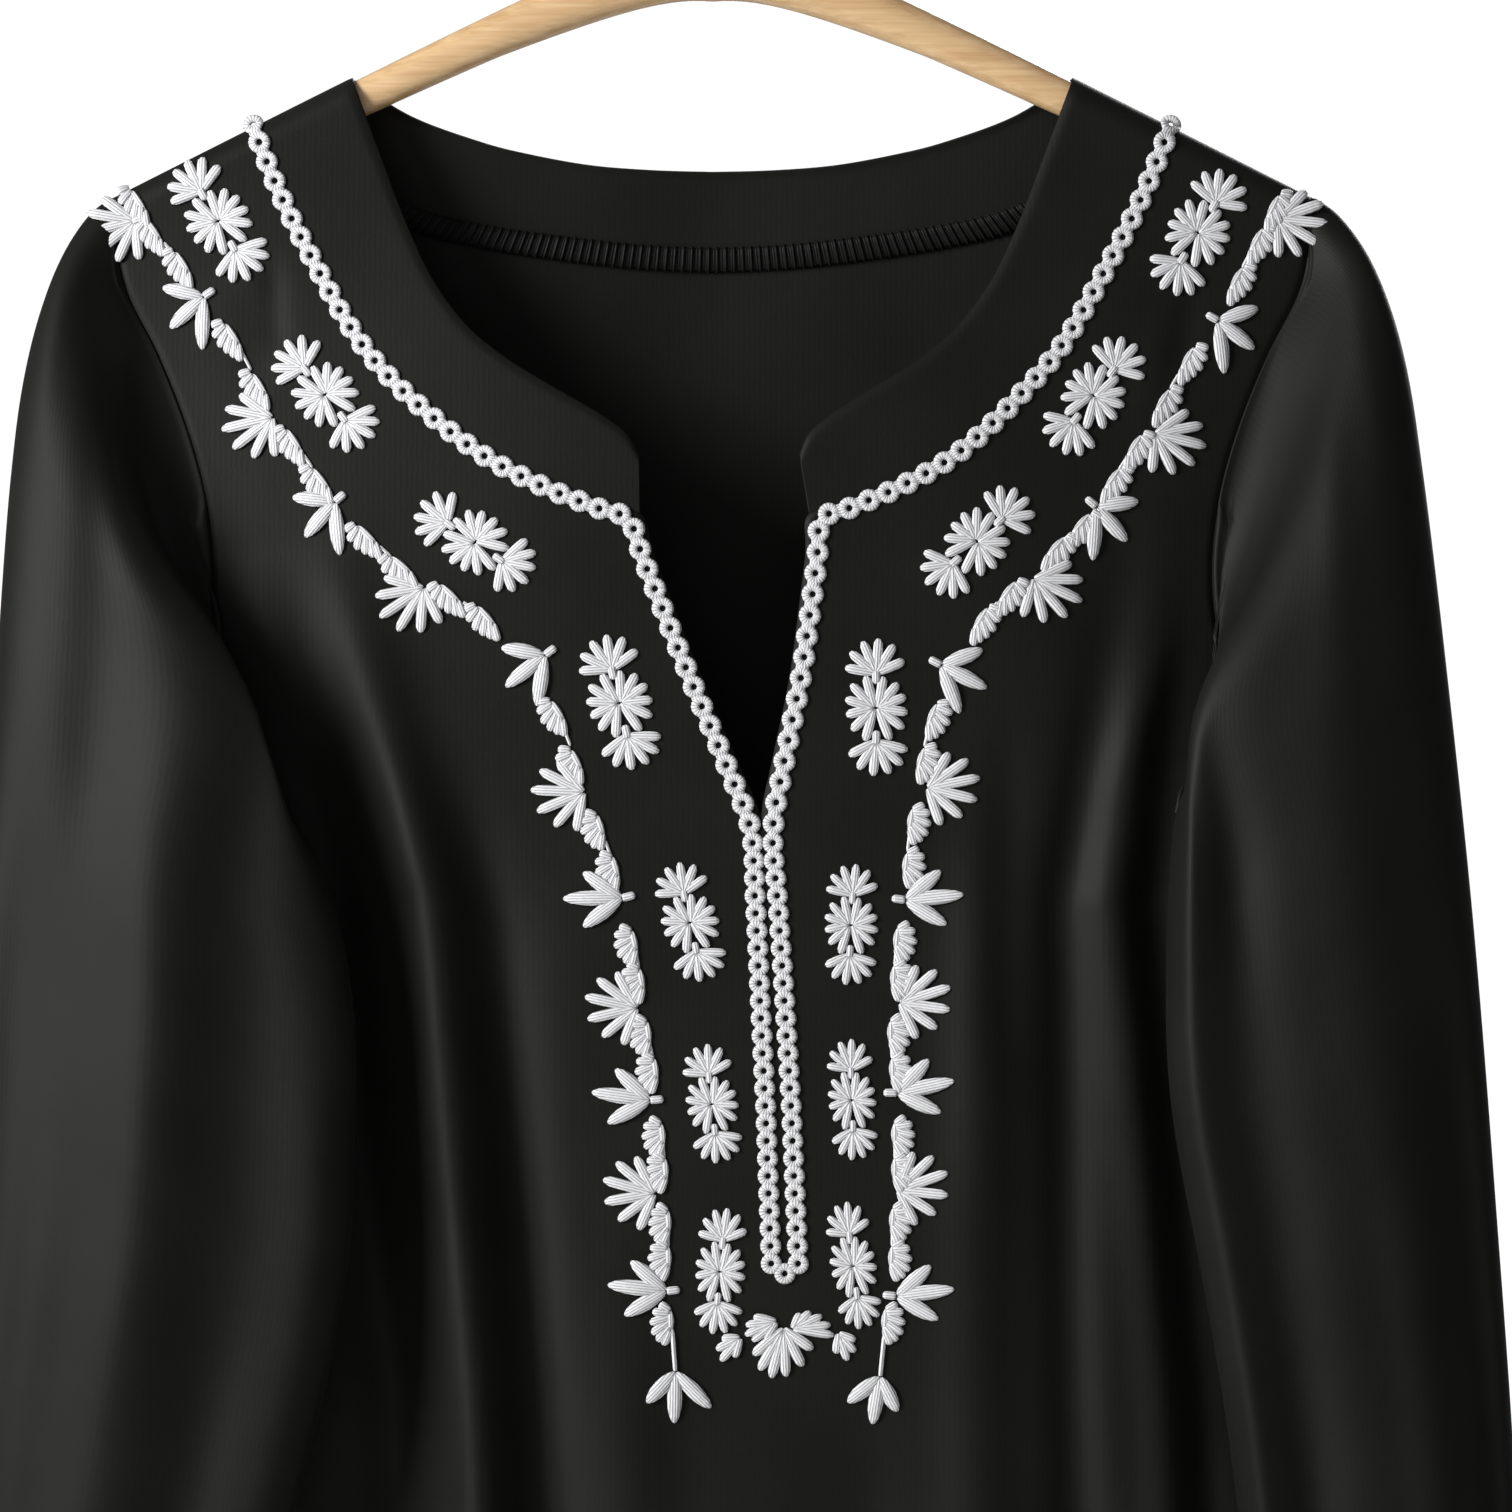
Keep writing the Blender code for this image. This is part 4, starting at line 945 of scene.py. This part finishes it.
rightVine = (
    (179.4, 42.4), (180.8, 45.6), (174.1, 52.9), (167.7, 65.3), (161.9, 78.4), (152, 90.9), (144, 104.3),
    (141.8, 114.5), (135.0, 118.8), (128, 129.3), (122.9, 137.9), (117.8, 143.7), (109.8, 151),
    (103, 161), (94.4, 165.5), (85.8, 174.1), (73.3, 188.5), (70.4, 204.8), (66.9, 218.9),
    (69.1, 227.8), (63.7, 238.4), (62.1, 252.5), (61.8, 263.7), (59.2, 276.5), (58.2, 288.6),
    (60.2, 296.6), (57.3, 306.3), (57.9, 318.1), (59.2, 325.4), (58.6, 338.9), (58.6, 350.1),
    (59.5, 356.5), (57.9, 366.1), (57.6, 378.2), (58.9, 390.4), (55.4, 398.4),
)
vineOrder = ("bud", "fan", "bud", "bud", "lily", "bud")  # the repeat, from the topmost bud
fanShape = {"angles": (68, 44, 20, -5, -32, -62), "lengths": (13.4, 16, 17.2, 16.4, 14.6, 12.8)}
motif = {  # angles from straight outwards towards the shoulder, and lengths; upper buds and lilies differ
    "fanUpper": fanShape, "fanLower": fanShape,
    "lilyUpper": {"angles": (48, -8, -54), "lengths": (14, 15, 17.4)},
    "lilyLower": {"angles": (47, 13, -23), "lengths": (15, 19, 15.6)},
    "budUpper": {"angles": (12, -14, -32, -44, -54, -64), "lengths": (4.2, 5.8, 6.8, 6.8, 6.4, 6),
                 "along": (-5.6, -4.4, -2.8, -0.9, 1.1, 3.0)},
    "budLower": {"angles": (34, 8, -14, -32, -48, -64), "lengths": (4.2, 5.8, 6.8, 7.2, 6.6, 5.6),
                 "along": (-3.6, -2.7, -1.5, -0.2, 1.2, 2.4)},
    "changeFrom": 150.0, "changeOver": 90.0, "stub": 4.4, "linkFrom": 0.34, "linkShare": 0.36,
    "spine": 9.4, "spineLess": 0.15,
}


def blended(kind, key, share):
    upper, lower = (np.array(motif[kind + end][key], float) for end in ("Upper", "Lower"))
    return upper + (lower - upper) * share


def vineRows(bases, side):
    # each motif turns with the vine, whose way is read between the third neighbours
    rows = []
    places = np.array(bases, float)
    for number, (x, down) in enumerate(bases):
        kind = vineOrder[number % len(vineOrder)]
        before, after = places[max(number - 3, 0)], places[min(number + 3, len(bases) - 1)]
        way = math.atan2(before[1] - after[1], after[0] - before[0])
        outward = math.degrees(way) + side * 90
        lower = float(smoothStep((down - motif["changeFrom"]) / motif["changeOver"]))
        angles, lengths = (blended(kind, key, lower) for key in ("angles", "lengths"))
        along = blended("bud", "along", lower) if kind == "bud" else 0
        rows.append(petalRows(x + along * math.cos(way), down - along * math.sin(way),
                              outward + side * angles, lengths, forms[kind]))
        if kind == "lily":
            rows.append(petalRows(x, down, (outward + 180,), (motif["stub"],), forms["stub"]))
        if kind == "bud":
            spine = motif["spine"] * (1 - motif["spineLess"] * lower)
            rows.append(petalRows(x - spine / 2 * math.cos(way), down + spine / 2 * math.sin(way),
                                  (math.degrees(way),), (spine,), forms["spine"]))
            if number + 1 < len(bases) and vineOrder[(number + 1) % len(vineOrder)] == "bud":
                runX, runDown = bases[number + 1][0] - x, bases[number + 1][1] - down
                start = x + runX * motif["linkFrom"], down + runDown * motif["linkFrom"]
                rows.append(petalRows(*start, (math.degrees(math.atan2(-runDown, runX)),),
                                      (math.hypot(runX, runDown) * motif["linkShare"],), forms["link"]))
    return rows


def hangingLily(x, down, angles, lengths, stemX, stemDown):
    # a lily at the end of a stem that starts at the last bud
    stem = math.hypot(stemX - x, stemDown - down)
    way = math.degrees(math.atan2(down - stemDown, stemX - x))
    return [
        petalRows(x, down, angles, lengths, forms["lily"]),
        petalRows(x, down, (way,), (stem,), forms["stem"]),
    ]


buildPetals("vineLeft", vineRows(leftVine, -1)
            + hangingLily(-11.8, 414.7, (227, 269, 315), (13.4, 16.5, 16.4), -12.8, 400.5))
buildPetals("vineRight", vineRows(rightVine, 1)
            + hangingLily(53.8, 416.3, (218, 261, 297), (13.3, 15.5, 12.5), 55.2, 402.0))
lowerSpray = [
    petalRows(22.9, 400.8, (221, 240, 256, 273, 297, 325), (13, 15.6, 16.5, 15.6, 13.7, 11.6), forms["fan"]),
    petalRows(20.6, 398.6, (168, 186, 203, 219, 238), (7.6, 10, 11, 10, 7), forms["bud"]),
    petalRows(25.8, 400.8, (64, 44, 24, 6, -9), (5.6, 8, 10.4, 12.4, 13.6), forms["bud"]),
    petalRows(9.0, 403.8, (182, 206, 230, 254), (6, 8.6, 9.8, 6.6), forms["bud"]),
    petalRows(40.6, 402.4, (-22, -48, -72, -98), (5.8, 8, 9.2, 6.6), forms["bud"]),
]
buildPetals("lowerSpray", lowerSpray)
print("vines and lower spray stitched")


# Hanger

arms = {
    "reach": 180.0, "seat": 1.6, "at": (0.0, 70.0, 180.0), "height": (22.0, 15.0, 10.0),
    "width": (15.0, 12.0, 8.0), "rows": 161, "around": 28, "swell": 0.85,
}
hook = {  # metres; closed is the radius of the closed ends, neck has x and distance below the centre
    "wire": 0.0019, "radius": 0.021, "closed": 1e-7, "startAngle": -58, "endAngle": 205.0, "clear": 0.0003,
    "neck": ((0.0, 0.040), (0.0005, 0.033), (0.0035, 0.026)), "rows": 220, "around": 20,
}


def buildArms():
    # superellipse sections along the shoulder bow, drawn in to rounded tips
    reach = arms["reach"] * np.sin(np.linspace(-math.pi / 2, math.pi / 2, arms["rows"]))
    half = np.abs(reach)
    tip = np.sqrt(np.clip(1 - (half / arms["reach"]) ** 14, 0, 1))
    height = np.interp(half, arms["at"], arms["height"])
    width = np.interp(half, arms["at"], arms["width"]) * tip
    top = shoulderLevel(half) - arms["seat"] - 0.5 * (1 - tip) * height
    angle = turns(arms["around"])[None, :]
    aside, rise = (np.sign(turn) * np.abs(turn) ** arms["swell"] for turn in (np.cos(angle), np.sin(angle)))
    y = (width / 2)[:, None] * aside
    up = (top - height * tip / 2)[:, None] + (height * tip / 2)[:, None] * rise
    faces = gridQuads(*up.shape, around=True, flip=True)
    piece = addPiece("hangerArms", place(reach[:, None], y, -up), faces, hangerWood, merge=True)
    dress(piece, "hanger_wood", "hanger_arms")


def buildHook():
    # round wire carried along its route: neck, bend and open arc
    centreZ = hook["wire"] - hook["radius"]
    woodTop = neckLevel + (shoulders["crown"] - arms["seat"]) * mm
    turn = np.radians(np.linspace(hook["startAngle"], hook["endAngle"], 22))
    arc = np.stack([hook["radius"] * np.cos(turn), centreZ + hook["radius"] * np.sin(turn)], axis=-1)
    neck = [(0.0, woodTop + hook["clear"])] + [(x, centreZ - below) for x, below in hook["neck"]]
    route = np.concatenate([np.array(neck), arc])
    x, z = columnsAt(route, np.linspace(0, len(route) - 1, hook["rows"]))
    runX, runZ = np.gradient(x), np.gradient(z)
    length = np.hypot(runX, runZ)
    x, z, runX, runZ, length = (
        np.concatenate([values[:1], values, values[-1:]])[:, None] for values in (x, z, runX, runZ, length)
    )
    size = np.full(x.shape, hook["wire"])
    size[[0, -1]] = hook["closed"]
    around = turns(hook["around"])[None, :]
    points = np.stack([
        x + size * np.cos(around) * runZ / length,
        size * np.sin(around) + 0 * x,
        z - size * np.cos(around) * runX / length,
    ], axis=-1)
    piece = addPiece("hangerHook", points, gridQuads(*points.shape[:2], around=True), hookWire, merge=True)
    dress(piece, "hook_steel", "hanger_hook")


buildArms()
buildHook()
print("hanger ready")


# Stage, light and camera

def buildStage():
    # pale paper floor, a low dish that lies well below the hem
    room = {"floor": -1.5, "half": 2.1, "rise": 0.01, "lines": 13}
    across = np.linspace(-room["half"], room["half"], room["lines"])
    x, y = np.meshgrid(across, across, indexing="ij")
    z = room["floor"] + room["rise"] * (x**2 + y**2) / room["half"] ** 2
    finish, _, _ = newFinish("palePaper", {"Base Color": linear("#f4f4f2"), "Roughness": 0.9})
    points = np.stack([x, y, z], axis=-1)
    addPiece("paperFloor", points, gridQuads(*x.shape, flip=True), finish)


def addSoftBox(name, spot, aim, size, power):
    light = bpy.data.lights.new(name, "AREA")
    light.shape = "RECTANGLE"
    light.size, light.size_y = size
    light.energy = power
    lamp = bpy.data.objects.new(name, light)
    lamp.location = spot
    run = np.array(aim) - np.array(spot)
    across = math.hypot(run[0], run[1])
    lamp.rotation_euler = (math.atan2(across, -run[2]), 0, math.atan2(-run[0], run[1]))
    bpy.context.scene.collection.objects.link(lamp)


buildStage()
addSoftBox("frontKey", (-1.65, -1.15, 0.2), (0, 0, -0.35), (0.7, 1.0), 58)
addSoftBox("frontFill", (-0.9, -2.6, 0.6), (0, 0, -0.35), (1.2, 1.2), 4)
addSoftBox("backKey", (1.0, 2.6, 0.9), (0, 0, -0.4), (1.4, 1.4), 60)


def buildWorld():
    # a dim white room with one bright wall far behind the top; strength follows direction alone
    room = {"dim": 0.17, "wall": 1.05, "wallFrom": 0.955, "wallTo": 0.975}  # cosines from straight behind
    world = bpy.data.worlds.new("softRoom")
    world.use_nodes = True
    tree = world.node_tree
    where = addNode(tree, "TexCoord")
    split = addNode(tree, "SeparateXYZ", {}, {"Vector": where.outputs["Generated"]})
    strength = addNode(tree, "MapRange", {
        "From Min": room["wallFrom"], "From Max": room["wallTo"],
        "To Min": room["dim"], "To Max": room["wall"],
    }, {"Value": split.outputs["Y"]})
    background = tree.nodes["Background"]
    background.inputs["Color"].default_value = (1, 1, 1, 1)
    tree.links.new(strength.outputs["Result"], background.inputs["Strength"])
    bpy.context.scene.world = world


buildWorld()
view = {"x": 0.01408, "distance": 2.03, "z": -0.3626, "lens": 148.8}
camera = bpy.data.cameras.new("photoView")
camera.lens = view["lens"]
camera.sensor_width = 36.0
cameraObject = bpy.data.objects.new("photoView", camera)
cameraObject.location = (view["x"], -view["distance"], view["z"])
cameraObject.rotation_euler = (math.pi / 2, 0, 0)
bpy.context.scene.collection.objects.link(cameraObject)
bpy.context.scene.camera = cameraObject
bpy.context.scene.view_settings.view_transform = "Standard"
print("stage, lights and camera set")

bpy.context.view_layer.update()
